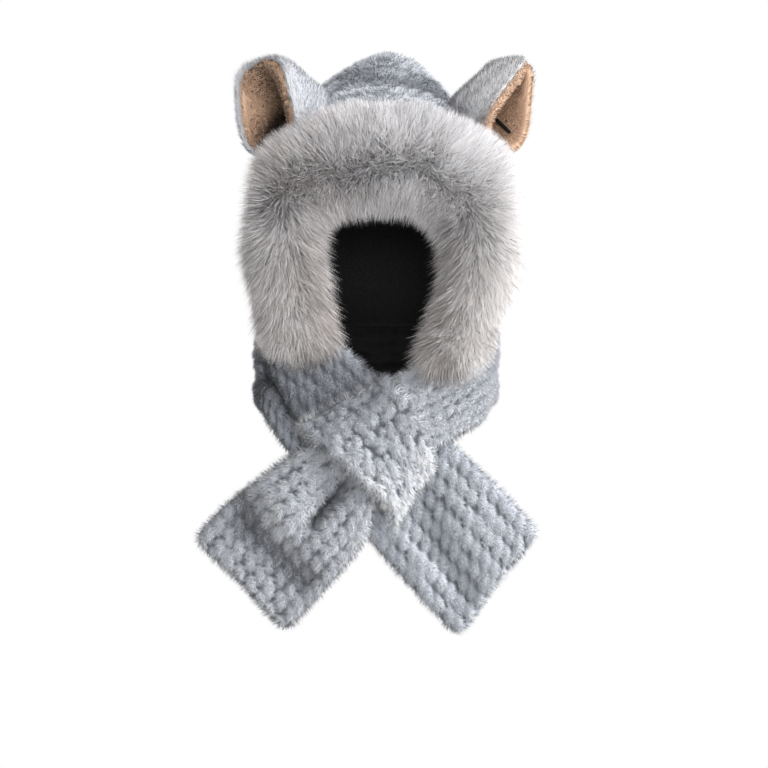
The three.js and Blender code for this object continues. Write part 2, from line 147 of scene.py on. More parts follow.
def grid_normals(grid):
    """The outward direction at each point of a grid that runs left to right and front to back."""
    down, across = grid_slopes(grid)
    return unit(np.cross(across, down))


def grid_distances(grid, start):
    """How far each grid point lies from the points where start is true, over the surface."""
    steps = [(1, 0), (0, 1), (1, 1), (1, -1), (2, 1), (1, 2), (2, -1), (1, -2)]
    rows, columns = start.shape
    links = []
    for down, across in steps:
        low, high = max(0, -across), columns - max(0, across)
        here = (slice(0, rows - down), slice(low, high))
        there = (slice(down, rows), slice(low + across, high + across))
        links.append((here, there, np.linalg.norm(grid[here] - grid[there], axis=-1)))
    reach = np.where(start, 0.0, 1e6)
    for _ in range(max(rows, columns)):
        last = reach.copy()
        for here, there, length in links:
            reach[there] = np.minimum(reach[there], reach[here] + length)
            reach[here] = np.minimum(reach[here], reach[there] + length)
        if np.abs(last - reach).max() < 1e-6:
            break
    for _ in range(4):
        padded = np.pad(reach, 1, mode="edge")
        blurred = padded[:-2, 1:-1] + padded[2:, 1:-1] + padded[1:-1, :-2] + padded[1:-1, 2:]
        reach = np.where(start, reach, (blurred + 2 * reach) / 6)
    return reach


def scatter_of(along, across, salt):
    """A steady random value from 0 to 1 for each pair of whole numbers."""
    mixed = np.sin(along * 127.1 + across * 311.7 + salt * 74.7) * 43758.5453
    return mixed - np.floor(mixed)


def knit_puffs(along, across, slant, loose=0.16):
    """The knit's relief at places counted in stitches and rows: the height of its puffs from 0 to 1,
    where each point lies across its puff from -1 to 1, and how light its puff is. The puffs slant over
    their rows by the given share."""
    height = np.zeros_like(along)
    lean = np.zeros_like(along)
    light = np.zeros_like(along)
    row = np.floor(across)
    for side in (-1, 0, 1):
        this_row = row + side
        sideways = across - this_row - 0.5 - 0.06 * np.sin(along * 1.7 + this_row * 2.1)
        slanted = along + 0.13 * this_row + slant * sideways - 0.35 * sideways**2
        stitch = np.floor(slanted)
        for step in (-1, 0, 1):
            this_stitch = stitch + step
            far = slanted - this_stitch - 0.5 - loose * (scatter_of(this_stitch, this_row, 1) - 0.5)
            aside = sideways - loose * (scatter_of(this_stitch, this_row, 2) - 0.5)
            size = 1 + 1.2 * loose * (scatter_of(this_stitch, this_row, 3) - 0.5)
            dome = 1 - (far / (PUFF_RADIUS * size)) ** 2 - (aside / (PUFF_RADIUS * size)) ** 2
            dome = np.sqrt(within(dome)) * (0.85 + 0.15 * size)
            higher = dome > height
            height = np.where(higher, dome, height)
            lean = np.where(higher, np.clip(aside / 0.5, -1, 1), lean)
            light = np.where(higher, scatter_of(this_stitch, this_row, 4), light)
    return height, lean, light


def pile_on(puff, rim=0):
    """The fields of a pile on puffs: upright, long and dense on them and at a rim, bare in the pits, whose
    ground is painted darker as shade.
    """
    return dict(
        rise=np.clip(0.4 + 0.3 * puff + 0.2 * rim, 0, 0.9),
        reach=0.5 + 0.5 * puff + 0.6 * rim,
        pit=within(1 - puff / PIT_BELOW),
        dense=within(np.maximum(puff * 2 - 0.15, rim)),
    )


def knit_tone(level, light, puff, pit_shade):
    """How light the pile is: a level for all, each puff's own lightness, and painted shade by the height on
    the puff, darkest in the pits.
    """
    return level + 0.2 * (light - 0.5) + pit_shade * (puff - 0.8)


def placed(name, data):
    """An object of the scene that shows a mesh, a lamp or a camera."""
    item = bpy.data.objects.new(name, data)
    bpy.context.scene.collection.objects.link(item)
    return item


def mesh_object(name, points, faces):
    """A mesh object from points in millimetres and faces that point outwards."""
    mesh = bpy.data.meshes.new(name)
    mesh.from_pydata((np.asarray(points) * MM).tolist(), [], faces)
    mesh.update()
    mesh.shade_smooth()
    return placed(name, mesh)


def store(item, **fields):
    """Writes fields that have one number or one vector for each point of a mesh."""
    for name, values in fields.items():
        kind, part = ("FLOAT", "value") if values.ndim == 1 else ("FLOAT_VECTOR", "vector")
        attribute = item.data.attributes.new(name, kind, "POINT")
        attribute.data.foreach_set(part, np.ascontiguousarray(values, np.float32).ravel())


def own_normals(item):
    """The way each point of a mesh faces."""
    own = np.empty(len(item.data.vertices) * 3, np.float32)
    item.data.vertex_normals.foreach_get("vector", own)
    return own.reshape(-1, 3)


def relief_normals(item, smooth):
    """The way the pile grows out of a relief: mostly out of each puff, and a little out of the cloth."""
    return unit(own_normals(item) * PUFF_SHARE + smooth * (1 - PUFF_SHARE))


def of_wall(outer, inner=None):
    """Values for a closed wall's points: the outer grid's, and then the inner grid's or the same again."""
    inner = outer if inner is None else inner + 0 * outer
    return np.concatenate([grid.reshape(-1, *grid.shape[2:]) for grid in (outer, inner)])


def closed_wall_faces(rows, columns):
    """The faces of a closed wall whose outer grid comes first and inner grid second."""
    number = np.arange(rows * columns).reshape(rows, columns)
    outer = [number[:-1, :-1], number[:-1, 1:], number[1:, 1:], number[1:, :-1]]
    faces = [np.stack([corner.ravel() for corner in outer], axis=1)]
    faces.append(np.stack([corner.ravel() for corner in outer[::-1]], axis=1) + rows * columns)
    around = np.concatenate([number[0, :-1], number[:-1, -1], number[-1, :0:-1], number[:0:-1, 0]])
    after = np.roll(around, -1)
    faces.append(np.stack([after, around, around + rows * columns, after + rows * columns], axis=1))
    return np.concatenate(faces).tolist()


def hood_grid(rows, columns):
    grid = []
    for crest_y, crest_z, foot_x, foot_y, foot_z, side, shoulder in smooth_rows(HOOD_ARCHES, rows):
        heights = ((0, foot_x), (SIDE_HEIGHT, side), (SHOULDER_HEIGHT, shoulder), (1, 0))
        half = [
            (-x, foot_y + (crest_y - foot_y) * share, foot_z + (crest_z - foot_z) * share)
            for share, x in heights
        ]
        knots = half + [(-x, y, z) for x, y, z in half[-2::-1]]
        grid.append(spaced_curve(np.array(knots, float), columns))
    return np.array(grid)


hood_face = hood_grid(*HOOD_GRID)
on_left = hood_face[..., 0] < 0
hood_face[..., 0] += PEAK_SHIFT * within((hood_face[..., 2] - 45) / 27)
hood_face[..., 0] -= LEFT_SWELL * bell(hood_face[..., 2] - 35, 13) * on_left
hood_out = grid_normals(hood_face)
rim = np.zeros(HOOD_GRID, bool)
rim[0] = True
neck_edge = np.zeros(HOOD_GRID, bool)
neck_edge[:, 0] = neck_edge[:, -1] = neck_edge[-1] = True
from_rim = grid_distances(hood_face, rim)
from_neck = grid_distances(hood_face, neck_edge)
rows_down = (from_rim + ROW_SHIFT) / ROW_SPACING
puff, puff_side, puff_light = knit_puffs(from_neck / STITCH_LENGTH, rows_down, HOOD_SLANT)
back_seam = bell(hood_face[..., 0], SEAM_WIDTH) * within((hood_face[..., 1] - SEAM_FROM) / 12)
puff = puff * (1 - 0.7 * back_seam)
hood_rise = -HOOD_INSET - PUFF_HEIGHT * (1 - puff)
hood_points = of_wall(hood_face + hood_out * hood_rise[..., None], hood_face - hood_out * HOOD_WALL)


def along_rows(grid, field):
    """The direction over a grid in which a field grows."""
    down, across = grid_slopes(grid)
    change_down, change_across = grid_slopes(field)
    a, b, c = (down * down).sum(-1), (down * across).sum(-1), (across * across).sum(-1)
    area = np.maximum(a * c - b * b, 1e-9)
    share_down = (c * change_down - b * change_across) / area
    share_across = (a * change_across - b * change_down) / area
    return unit(down * share_down[..., None] + across * share_across[..., None])


hood_knit = mesh_object("hood_knit", hood_points, closed_wall_faces(*HOOD_GRID))
to_top = along_rows(hood_face, from_neck)
to_back = along_rows(hood_face, from_rim)
hood_lay = unit(-to_top * 0.5 + to_back * (0.25 + 0.75 * puff_side[..., None]))
# painted shade in the gaps between the rows
row_gap = np.abs(rows_down - np.round(rows_down))
hood_tone = knit_tone(0.47, puff_light, puff, 1.1) - 0.45 * bell(row_gap, 0.13)
# painted shade darkens the crown under its peak, and painted light makes it lighter just over the ruff,
# most of all on the left
before_peak = np.exp(-((hood_face[..., 0] / 56) ** 4)) * within((64 - hood_face[..., 1]) / 20)
crown = hood_face[..., 2] + 0.12 * hood_face[..., 0]
painted_shade_under_peak = bell(crown - 40, 9)
painted_light_over_ruff = bell(crown - 25, 8)
on_the_left = within(-hood_face[..., 0] / 50)
hood_tone = hood_tone + before_peak * ((0.1 + 0.35 * on_the_left) * painted_light_over_ruff - 0.58 * painted_shade_under_peak)
to_neck = within((-140 - hood_face[..., 2]) / 60)
behind_ruff = within((hood_face[..., 1] + 66) / 10)
in_scarf = within((hood_face[..., 2] + 197) / 5)
hood_fields = pile_on(puff)
store(
    hood_knit,
    out=relief_normals(hood_knit, of_wall(hood_out, -hood_out)),
    lay=of_wall(hood_lay),
    rise=of_wall(hood_fields["rise"], 0),
    reach=of_wall(hood_fields["reach"], 1),
    tone=of_wall(hood_tone, 0.1),
    warm=of_wall(0 * puff + 0.12, 0),
    pit=of_wall(hood_fields["pit"], 1 - 0.75 * to_neck),
    dense=of_wall(hood_fields["dense"] * behind_ruff * in_scarf, 0),
)


def strand_mesh(name, widest, bend):
    """One strand along Z, one unit long and wide: widest at the given share of its length, pointed at
    its tip, and at its root too unless it is widest there."""
    points = [(bend, -0.5, widest), (bend, 0.5, widest), (bend * 1.15, 0, 1), (0, 0, 0)]
    faces = [(0, 1, 2), (3, 1, 0)]
    along, side = [widest, widest, 1, 0], [-0.5, 0.5, 0, 0]
    if widest == 0:
        points, faces, along, side = points[:3], faces[:1], along[:3], side[:3]
    mesh = bpy.data.meshes.new(name)
    mesh.from_pydata(points, [], faces)
    mesh.update()
    item = placed(name, mesh)
    store(item, along=np.array(along), side=np.array(side))
    return item


class Wiring:
    """Adds nodes to a tree and wires them up."""

    def __init__(self, tree):
        self.nodes, self.links = tree.nodes, tree.links

    def fill(self, node, inputs):
        """Links each input of a node, by its name or number, to an output, or gives it a plain value."""
        for key, value in inputs.items():
            if isinstance(value, bpy.types.NodeSocket):
                self.links.new(value, node.inputs[key])
            else:
                node.inputs[key].default_value = value

    def node(self, kind, inputs=None, **settings):
        """A new node of a kind, with its settings set first and its inputs filled after them."""
        node = self.nodes.new(kind)
        for name, value in settings.items():
            setattr(node, name, value)
        self.fill(node, inputs or {})
        return node

    def number(self, operation, *values, clamped=False):
        inputs = dict(enumerate(values))
        return self.node("ShaderNodeMath", inputs, operation=operation, use_clamp=clamped).outputs[0]


def new_tree(name, inputs, output):
    """An empty Geometry Nodes tree with inputs of the given kinds, and one geometry as its output."""
    tree = bpy.data.node_groups.new(name, "GeometryNodeTree")
    for kind, sockets in inputs.items():
        for socket in sockets:
            tree.interface.new_socket(socket, in_out="INPUT", socket_type="NodeSocket" + kind)
    tree.interface.new_socket(output, in_out="OUTPUT", socket_type="NodeSocketGeometry")
    return tree, Wiring(tree)


PILE_SIZES = (
    "Strands per square metre",
    "Length",
    "Width",
    "Length scatter",
    "Lean scatter",
    "Clump size",
    "Clump lean",
    "Curl",
    "Roll",
    "Tone scatter",
    "Patch size",
    "Patch tone",
)


def pile_tree():
    """Geometry Nodes that grow strands on a skin, by the values stored on its points."""
    inputs = {
        "Geometry": ["Skin"],
        "Object": ["Strand"],
        "Material": ["Finish"],
        "Int": ["Seed"],
        "Float": PILE_SIZES,
    }
    tree, wires = new_tree("pile", inputs, "Pile")
    node, number = wires.node, wires.number
    given = node("NodeGroupInput").outputs

    def stored(name, kind="FLOAT"):
        return node("GeometryNodeInputNamedAttribute", {"Name": name}, data_type=kind).outputs["Attribute"]

    def plus(*values):
        return number("ADD", *values)

    def times(*values):
        return number("MULTIPLY", *values)

    def total(*vectors):
        return node("ShaderNodeVectorMath", dict(enumerate(vectors)), operation="ADD").outputs["Vector"]

    def scaled(vector, factor):
        inputs = {0: vector, "Scale": factor}
        return node("ShaderNodeVectorMath", inputs, operation="SCALE").outputs["Vector"]

    def random_number(low, high, salt):
        inputs = {2: low, 3: high, "Seed": plus(given["Seed"], salt)}
        return node("FunctionNodeRandomValue", inputs, data_type="FLOAT").outputs[1]

    def random_vector(salt):
        inputs = {0: (-1, -1, -1), 1: (1, 1, 1), "Seed": plus(given["Seed"], salt)}
        return node("FunctionNodeRandomValue", inputs, data_type="FLOAT_VECTOR").outputs[0]

    def clouds(size):
        place = node("GeometryNodeInputPosition").outputs[0]
        scale = number("DIVIDE", 1.0, size)
        return node("ShaderNodeTexNoise", {"Vector": place, "Scale": scale, "Detail": 2.0}).outputs

    def keep(geometry, name, value, kind="FLOAT", domain="POINT"):
        inputs = {"Geometry": geometry, "Name": name, "Value": value}
        kept = node("GeometryNodeStoreNamedAttribute", inputs, data_type=kind, domain=domain)
        return kept.outputs["Geometry"]

    density = times(given["Strands per square metre"], stored("dense"))
    inputs = {"Mesh": given["Skin"], "Density": density, "Seed": given["Seed"]}
    spread = node("GeometryNodeDistributePointsOnFaces", inputs).outputs["Points"]

    # which way each strand points: combed along the skin, out of it, with its clump, and by chance
    rise = stored("rise")
    out = stored("out", "FLOAT_VECTOR")
    lying = scaled(stored("lay", "FLOAT_VECTOR"), number("SUBTRACT", 1.0, rise))
    clump = total(clouds(given["Clump size"])["Color"], (-0.5, -0.5, -0.5))
    loose = scaled(random_vector(11), given["Lean scatter"])
    heading = total(total(lying, scaled(out, rise)), total(scaled(clump, given["Clump lean"]), loose))
    rolled = total(out, scaled(random_vector(12), given["Roll"]))
    inputs = {"Primary Axis": heading, "Secondary Axis": rolled}
    turned = node("FunctionNodeAxesToRotation", inputs, primary_axis="Z", secondary_axis="X")

    # how long, wide and bent it is
    spare = plus(1.0, times(random_number(-1, 1, 13), given["Length scatter"]))
    length = times(times(given["Length"], stored("reach")), spare)
    curl = times(times(length, given["Curl"]), random_number(-0.4, 1.6, 14))
    width = times(given["Width"], random_number(0.7, 1.3, 15))
    size = node("ShaderNodeCombineXYZ", {0: curl, 1: width, 2: length}).outputs[0]

    # how light and how warm its colour is
    patch = number("SUBTRACT", clouds(given["Patch size"])["Fac"], 0.5)
    tone = plus(stored("tone"), times(patch, given["Patch tone"]))
    tone = plus(tone, times(random_number(-1, 1, 16), given["Tone scatter"]))
    warm = number("GREATER_THAN", stored("warm"), random_number(0, 1, 17))
    points = keep(keep(spread, "tone", tone), "warm", warm)

    strand = node("GeometryNodeObjectInfo", {"Object": given["Strand"]}).outputs["Geometry"]
    inputs = {"Points": points, "Instance": strand, "Rotation": turned.outputs["Rotation"], "Scale": size}
    planted = node("GeometryNodeInstanceOnPoints", inputs).outputs["Instances"]
    real = node("GeometryNodeRealizeInstances", {"Geometry": planted}).outputs["Geometry"]

    # the strands' map: the tone sideways, and upwards the way to the tip, first for cool, then for warm
    shade = number("ADD", stored("tone"), times(stored("side"), 0.02), clamped=True)
    sideways = number("MULTIPLY_ADD", shade, 0.96, 0.02)
    to_tip = number("MULTIPLY_ADD", stored("along"), 0.46, 0.02)
    upwards = number("MULTIPLY_ADD", stored("warm"), 0.5, to_tip)
    place = node("ShaderNodeCombineXYZ", {0: sideways, 1: upwards}).outputs[0]
    mapped = keep(real, "OFBake", place, "FLOAT2", "CORNER")
    finish = node("GeometryNodeSetMaterial", {"Geometry": mapped, "Material": given["Finish"]})
    node("NodeGroupOutput", {"Pile": finish.outputs["Geometry"]})
    return tree


PILE = pile_tree()
SHORT_STRAND = strand_mesh("short_strand", 0, 0.14)
LONG_STRAND = strand_mesh("long_strand", 0.45, 0.16)
SKIN_FIELDS = ("out", "lay", "rise", "reach", "tone", "warm", "pit", "dense", "way", "along", "side")


def made_on(item, tree, values):
    """The mesh that a Geometry Nodes tree makes on an object, with the tree's inputs set."""
    modifier = item.modifiers.new(tree.name, "NODES")
    modifier.node_group = tree
    for socket in tree.interface.items_tree:
        if socket.in_out == "INPUT" and socket.name in values:
            modifier[socket.identifier] = values[socket.name]
    graph = bpy.context.evaluated_depsgraph_get()
    mesh = bpy.data.meshes.new_from_object(
        item.evaluated_get(graph), preserve_all_data_layers=True, depsgraph=graph
    )
    item.modifiers.remove(modifier)
    return mesh


def grown(name, skin, strand, finish, seed, softness=0.75, **sizes):
    """A mesh of strands grown on a skin, whose shading follows the skin by the share `softness`."""
    values = {key.replace("_", " ").capitalize(): value for key, value in sizes.items()}
    mesh = made_on(skin, PILE, {**values, "Strand": strand, "Finish": finish, "Seed": seed})
    mesh.name = name
    item = placed(name, mesh)
    out = np.empty(len(mesh.vertices) * 3, np.float32)
    mesh.attributes["out"].data.foreach_get("vector", out)
    out, own = unit(out.reshape(-1, 3)), own_normals(item)
    own = own * np.sign((own * out).sum(1) + 1e-9)[:, None]
    soft = unit(out * softness + own * (1 - softness))
    mesh.normals_split_custom_set_from_vertices(soft.tolist())
    for field in SKIN_FIELDS:
        if field in mesh.attributes:
            mesh.attributes.remove(mesh.attributes[field])
    return item


def new_finish(name):
    """A finish, the wiring of its nodes, and the main node among them."""
    finish = bpy.data.materials.new(name)
    finish.use_nodes = True
    return finish, Wiring(finish.node_tree), finish.node_tree.nodes["Principled BSDF"]


def ramp(wires, place, stops):
    """A colour that changes with the place through the given stops."""
    node = wires.node("ShaderNodeValToRGB", {0: place})
    while len(node.color_ramp.elements) < len(stops):
        node.color_ramp.elements.new(0.5)
    for element, (stop, colour) in zip(node.color_ramp.elements, stops):
        element.position = stop
        element.color = (*colour, 1)
    return node.outputs[0]


def mixed(wires, factor, first, second, blend="MIX"):
    """A colour mixed from two others."""
    inputs = {"Factor": factor, 6: first, 7: second}
    return wires.node("ShaderNodeMix", inputs, data_type="RGBA", blend_type=blend).outputs[2]


def pile_finish(name, cool, warm, roots, sheen):
    """Fur: each strand's colour by its tone and by how far it is from its root. The strands' map holds
    the tone sideways, and upwards the way from root to tip, first for cool and then for warm ones."""
    finish, wires, shader = new_finish(name)
    place = wires.node("ShaderNodeUVMap", uv_map="OFBake").outputs["UV"]
    parts = wires.node("ShaderNodeSeparateXYZ", {0: place}).outputs
    is_warm = wires.number("GREATER_THAN", parts["Y"], 0.5)
    way = wires.number("FRACT", wires.number("MULTIPLY", parts["Y"], 2.0))
    chosen = mixed(wires, is_warm, ramp(wires, parts["X"], cool), ramp(wires, parts["X"], warm))
    settings = {
        # each strand darkens towards its root: painted shade deep in the pile
        "Base Color": mixed(wires, 1.0, chosen, ramp(wires, way, roots), "MULTIPLY"),
        "Roughness": 0.75,
        "Specular IOR Level": 0.25,
        "Sheen Weight": sheen,
        "Sheen Roughness": 0.5,
    }
    wires.fill(shader, settings)
    return finish


def backing_finish(name, pit_colour, top_colour, grain, sheen=0.3):
    """The knitted ground under a pile: painted darker in its pits as shade, with fine fibres in colour and
    relief.
    """
    finish, wires, shader = new_finish(name)
    place = wires.node("ShaderNodeTexCoord").outputs["Object"]
    noise = {"Vector": place, "Scale": grain, "Detail": 6, "Distortion": 0.6}
    fibres = wires.node("ShaderNodeTexNoise", noise).outputs["Fac"]
    pit = wires.node("ShaderNodeAttribute", attribute_name="pit").outputs["Fac"]
    ground = mixed(wires, pit, (*top_colour, 1), (*pit_colour, 1))
    specks = ramp(wires, fibres, [(0.3, (0.55, 0.55, 0.55)), (0.7, (1, 1, 1))])
    bump = {"Strength": 0.5, "Distance": 0.0008, "Height": fibres}
    settings = {
        "Base Color": mixed(wires, 1.0, ground, specks, "MULTIPLY"),
        "Normal": wires.node("ShaderNodeBump", bump).outputs[0],
        "Roughness": 0.9,
        "Specular IOR Level": 0.5 * sheen,
        "Sheen Weight": sheen,
    }
    wires.fill(shader, settings)
    return finish


def two_finishes(item, outer, inner, takes_inner):
    """Gives each face of a mesh its outer finish, or its inner one where told."""
    item.data.materials.append(outer)
    item.data.materials.append(inner)
    item.data.polygons.foreach_set("material_index", takes_inner.astype(np.int32))


def stands_for(node, slot, *pieces):
    """Seats pieces on the frame in place of a CAD node. The slot of what they are made of is not used."""
    for piece in pieces:
        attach(piece, "root")
        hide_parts(node)


KNIT_COOL = [(0, (0.21, 0.225, 0.26)), (0.5, (0.72, 0.755, 0.82)), (1, (0.90, 0.92, 0.96))]
KNIT_WARM = [(0, (0.27, 0.26, 0.255)), (0.5, (0.78, 0.76, 0.75)), (1, (0.94, 0.92, 0.90))]
KNIT_ROOTS = [(0, (0.78, 0.78, 0.79)), (0.3, (0.9, 0.9, 0.9)), (0.7, (1, 1, 1))]
knit_pile = pile_finish("knit_pile", KNIT_COOL, KNIT_WARM, KNIT_ROOTS, 0.3)
knit_ground = backing_finish("knit_ground", (0.26, 0.275, 0.31), (0.6, 0.63, 0.69), 900)
# the inner faces are painted near-black, as the shade inside the hood and the neck
painted_shade_inside = backing_finish("painted_shade_inside", (0.036, 0.036, 0.036), (0.015, 0.015, 0.015), 700, 0)
inside_faces = np.arange(len(hood_knit.data.polygons)) >= (HOOD_GRID[0] - 1) * (HOOD_GRID[1] - 1)
two_finishes(hood_knit, knit_ground, painted_shade_inside, inside_faces)
KNIT_SIZES = dict(
    strands_per_square_metre=1200000,
    length=4.2 * MM,
    width=0.6 * MM,
    length_scatter=0.3,
    lean_scatter=0.14,
    clump_size=4 * MM,
    clump_lean=0.24,
    curl=0.6,
    roll=0.6,
    tone_scatter=0.09,
    patch_size=30 * MM,
    patch_tone=0.25,
)
hood_pile = grown("hood_pile", hood_knit, SHORT_STRAND, knit_pile, 3, **KNIT_SIZES)
stands_for("hood_shell", "knit", hood_knit, hood_pile)

# The ruff: a deep roll of long soft fur sewn to the hood's rim, from the left side of the chin over the
# forehead to the right side. Its hair is parted along the roll, inwards to the face and outwards.
# inner x, inner z, outer x, outer z, front y, back y, place of the parting from -1 inside to 1 outside
RUFF_SECTIONS = np.array(
    [
        (-30, -249, -129, -249, -127, -86, -0.2),
        (-35, -206, -138, -206, -125, -72, -0.1),
        (-46, -143, -149, -138, -121, -56, -0.1),
        (-49, -115, -143, -94, -119, -52, 0.0),
        (-43, -107, -122, -27, -117, -50, 0.0),
        (-20, -104, -60, 9, -117, -50, -0.2),
        (0, -104, 0, 14, -118, -50, -0.3),
        (22, -106, 64, 10, -117, -50, -0.3),
        (40, -116, 129, -28, -117, -50, -0.3),
        (46, -133, 144, -99, -119, -52, -0.4),
        (43, -163, 147, -148, -122, -58, -0.45),
        (33, -202, 130, -200, -127, -76, -0.4),
        (20, -240, 124, -220, -130, -98, -0.3),
        (42, -274, 117, -232, -129, -102, -0.3),
    ],
    float,
)
RUFF_SQUARENESS = 2.6  # of its section: 2 is an ellipse
RUFF_GRID = (110, 44)  # rings along the roll, points round each ring
RUFF_END_ROUND = 7
# how deep the skin lies under the tips of the fur: outside, inside, in front, behind; at both ends
FUR_DEPTHS = (21, 23, 23, 10)
FUR_ENDS = (27, 16)


def ruff_skin():
    """The skin under the fur, with the way each hair is combed, and how far round it each point is."""
    rows, columns = RUFF_GRID
    fine = smooth_rows(RUFF_SECTIONS, 600)
    middles = (fine[:, (0, 4, 1)] + fine[:, (2, 5, 3)]) / 2
    way = way_over(middles)
    outside, inside, in_front, behind = FUR_DEPTHS
    wanted = np.linspace(FUR_ENDS[0], way[-1] - FUR_ENDS[1], rows)
    values, middle = read_at(wanted, way, fine), read_at(wanted, way, middles)
    to_end = np.minimum(wanted - wanted[0], wanted[-1] - wanted)
    cap = np.sqrt(np.clip(1 - (1 - within(to_end / RUFF_END_ROUND)) ** 2, 0.1, 1))
    outward = np.stack([values[:, 2] - values[:, 0], 0 * wanted, values[:, 3] - values[:, 1]], axis=1) / 2
    half_width = np.linalg.norm(outward, axis=1)
    half_depth = (values[:, 5] - values[:, 4]) / 2
    angle = np.linspace(0, 2 * math.pi, columns, endpoint=False)
    power = 2 / RUFF_SQUARENESS
    across = np.sign(np.cos(angle)) * np.abs(np.cos(angle)) ** power
    back = np.sign(np.sin(angle)) * np.abs(np.sin(angle)) ** power
    width = (half_width - (outside + inside) / 2) * cap
    depth = np.maximum(half_depth - (in_front + behind) / 2, 6) * cap
    shift = (inside - outside) / 2 + width[:, None] * across
    grid = middle[:, None] + unit(outward)[:, None] * shift[..., None]
    grid[..., 1] += (in_front - behind) / 2 + depth[:, None] * back
    number = np.arange(rows * columns).reshape(rows, columns)
    after = np.roll(number, -1, axis=1)
    walls = np.stack([number[:-1], number[1:], after[1:], after[:-1]], axis=-1).reshape(-1, 4).tolist()
    start, end = rows * columns, rows * columns + 1
    caps = [(start, int(a), int(b)) for a, b in zip(number[0], after[0])]
    caps += [(end, int(b), int(a)) for a, b in zip(number[-1], after[-1])]
    points = np.vstack([grid.reshape(-1, 3), grid[:1].mean(1), grid[-1:].mean(1)])
    item = mesh_object("ruff_skin", points, walls + caps)

    # how the hair is combed: from the parting and from the back, with a wandering line and swirls
    around = unit(np.roll(grid, -1, axis=1) - np.roll(grid, 1, axis=1))
    along = unit(np.gradient(middle, axis=0))[:, None]
    downwards = along * np.where(along[..., 2:] > 0, -1, 1)
    wave = 0.16 * np.sin(wanted / 21) + 0.1 * np.sin(wanted / 8.3 + 1) + 0.06 * np.sin(wanted / 3.7 + 2)
    parting = np.clip(values[:, 6:7], -0.95, 0.95)
    parted = 2 * math.pi - np.arccos(np.sign(parting) * np.abs(parting) ** (1 / power)) + wave[:, None]
    lines, places = np.meshgrid(np.arange(rows), np.arange(columns), indexing="ij")
    parted = parted + 0.3 * (scatter_of(lines, places, 5) - 0.5)
    turn = (angle - parted + math.pi) % (2 * math.pi) - math.pi
    from_back = (angle - math.pi / 2 + math.pi) % (2 * math.pi) - math.pi
    flow = np.where((angle < math.pi / 2) | (turn >= 0), 1.0, -1.0)
    flow = flow * np.tanh(np.abs(turn) / 0.4) * np.tanh(np.abs(from_back) / 0.35)
    leg = within((-60 - middle[:, 2:3]) / 95)
    swirl = 0.3 * np.sin(wanted[:, None] / 17 + 2 * angle) * np.cos(wanted[:, None] / 31 - 3 * angle)
    lay = around * (flow * (1 - 0.6 * leg))[..., None]
    lay = lay + downwards * (0.1 + leg + swirl * (1 - 0.5 * leg))[..., None]

    # where the fur is shorter or warmer, and its painted light and shade: painted shadow under the left
    # ear, painted shade on the inner roll, at the parting, on the lower inner sides of the legs and on the
    # left, painted light on the right, and painted shade that tones down the lamp's glare on the outer
    # right
    front = within(-back)
    crest = bell(turn, 0.45)
    inner = within((parting - across) / 0.5) * front
    lower = within((-70 - middle[:, 2:3]) / 30)
    left_inner = within(-across) * (middle[:, :1] < -30) * lower
    right_inner = within(0.5 - across) * (middle[:, :1] > 30) * lower
    left = within(-grid[..., 0] / 100) * within((grid[..., 2] + 110) / 40)
    right = within(grid[..., 0] / 100) * (1 - inner)
    outer_right = within((across - 0.3) / 0.6) * within(grid[..., 0] / 40)
    under_ear = np.exp(-(((grid[..., 0] + 98) / 30) ** 2) - ((grid[..., 2] + 2) / 26) ** 2)
    tone = 0.56 + 0.04 * leg - 0.4 * under_ear - 0.26 * inner - 0.02 * crest * (1 - leg)
    tone = tone - 0.7 * left_inner - 0.42 * right_inner
    outermost = within((across - 0.4) / 0.5)
    reach = 0.9 + 0.1 * front - 0.12 * inner - (0.24 + 0.2 * (grid[..., 0] > 40)) * outermost
    fields = {
        "lay": lay,
        "rise": 0.34 + 0.16 * crest + 0 * flow,
        "reach": reach - 0.45 * under_ear,
        "tone": tone - 0.32 * left + 0.46 * right - 0.62 * outer_right,
        "warm": 0.3 + 0.5 * np.maximum(leg, left) + 0.2 * inner,
        "pit": 0.3 + 0 * flow,
        "dense": 1 - 0.65 * within(back * 2 - 1) + 0 * flow,
        "way": np.linspace(0, 1, rows)[:, None] + 0 * flow,
    }
    for field, grid_values in fields.items():
        flat = grid_values.reshape(rows * columns, -1)
        whole = np.vstack([flat, flat[:columns].mean(0), flat[-columns:].mean(0)])
        store(item, **{field: whole if field == "lay" else whole[:, 0]})
    store(item, out=own_normals(item))
    return item


def field_of(item, name):
    values = np.empty(len(item.data.vertices), np.float32)
    item.data.attributes[name].data.foreach_get("value", values)
    return values


def set_field(item, name, values):
    item.data.attributes[name].data.foreach_set("value", np.ascontiguousarray(values, np.float32).ravel())


ruff_body = ruff_skin()
RUFF_COOL = [(0, (0.30, 0.30, 0.33)), (0.5, (0.71, 0.71, 0.74)), (1, (0.95, 0.95, 0.97))]
RUFF_WARM = [(0, (0.34, 0.31, 0.30)), (0.5, (0.75, 0.71, 0.69)), (1, (0.97, 0.94, 0.92))]
RUFF_ROOTS = [(0, (0.5, 0.49, 0.5)), (0.4, (0.76, 0.75, 0.75)), (0.8, (1, 1, 1))]
ruff_fur = pile_finish("ruff_fur", RUFF_COOL, RUFF_WARM, RUFF_ROOTS, 0.25)
ruff_body.data.materials.append(backing_finish("ruff_skin", (0.4, 0.39, 0.4), (0.65, 0.64, 0.65), 600))
ruff_way, ruff_dense = field_of(ruff_body, "way"), field_of(ruff_body, "dense")
RUFF_SIZES = dict(
    strands_per_square_metre=2200000,
    length=31 * MM,
    width=0.46 * MM,
    length_scatter=0.3,
    lean_scatter=0.22,
    clump_size=6 * MM,
    clump_lean=0.5,
    curl=-0.45,
    roll=0.8,
    tone_scatter=0.64,
    patch_size=9 * MM,
    patch_tone=1.4,
)
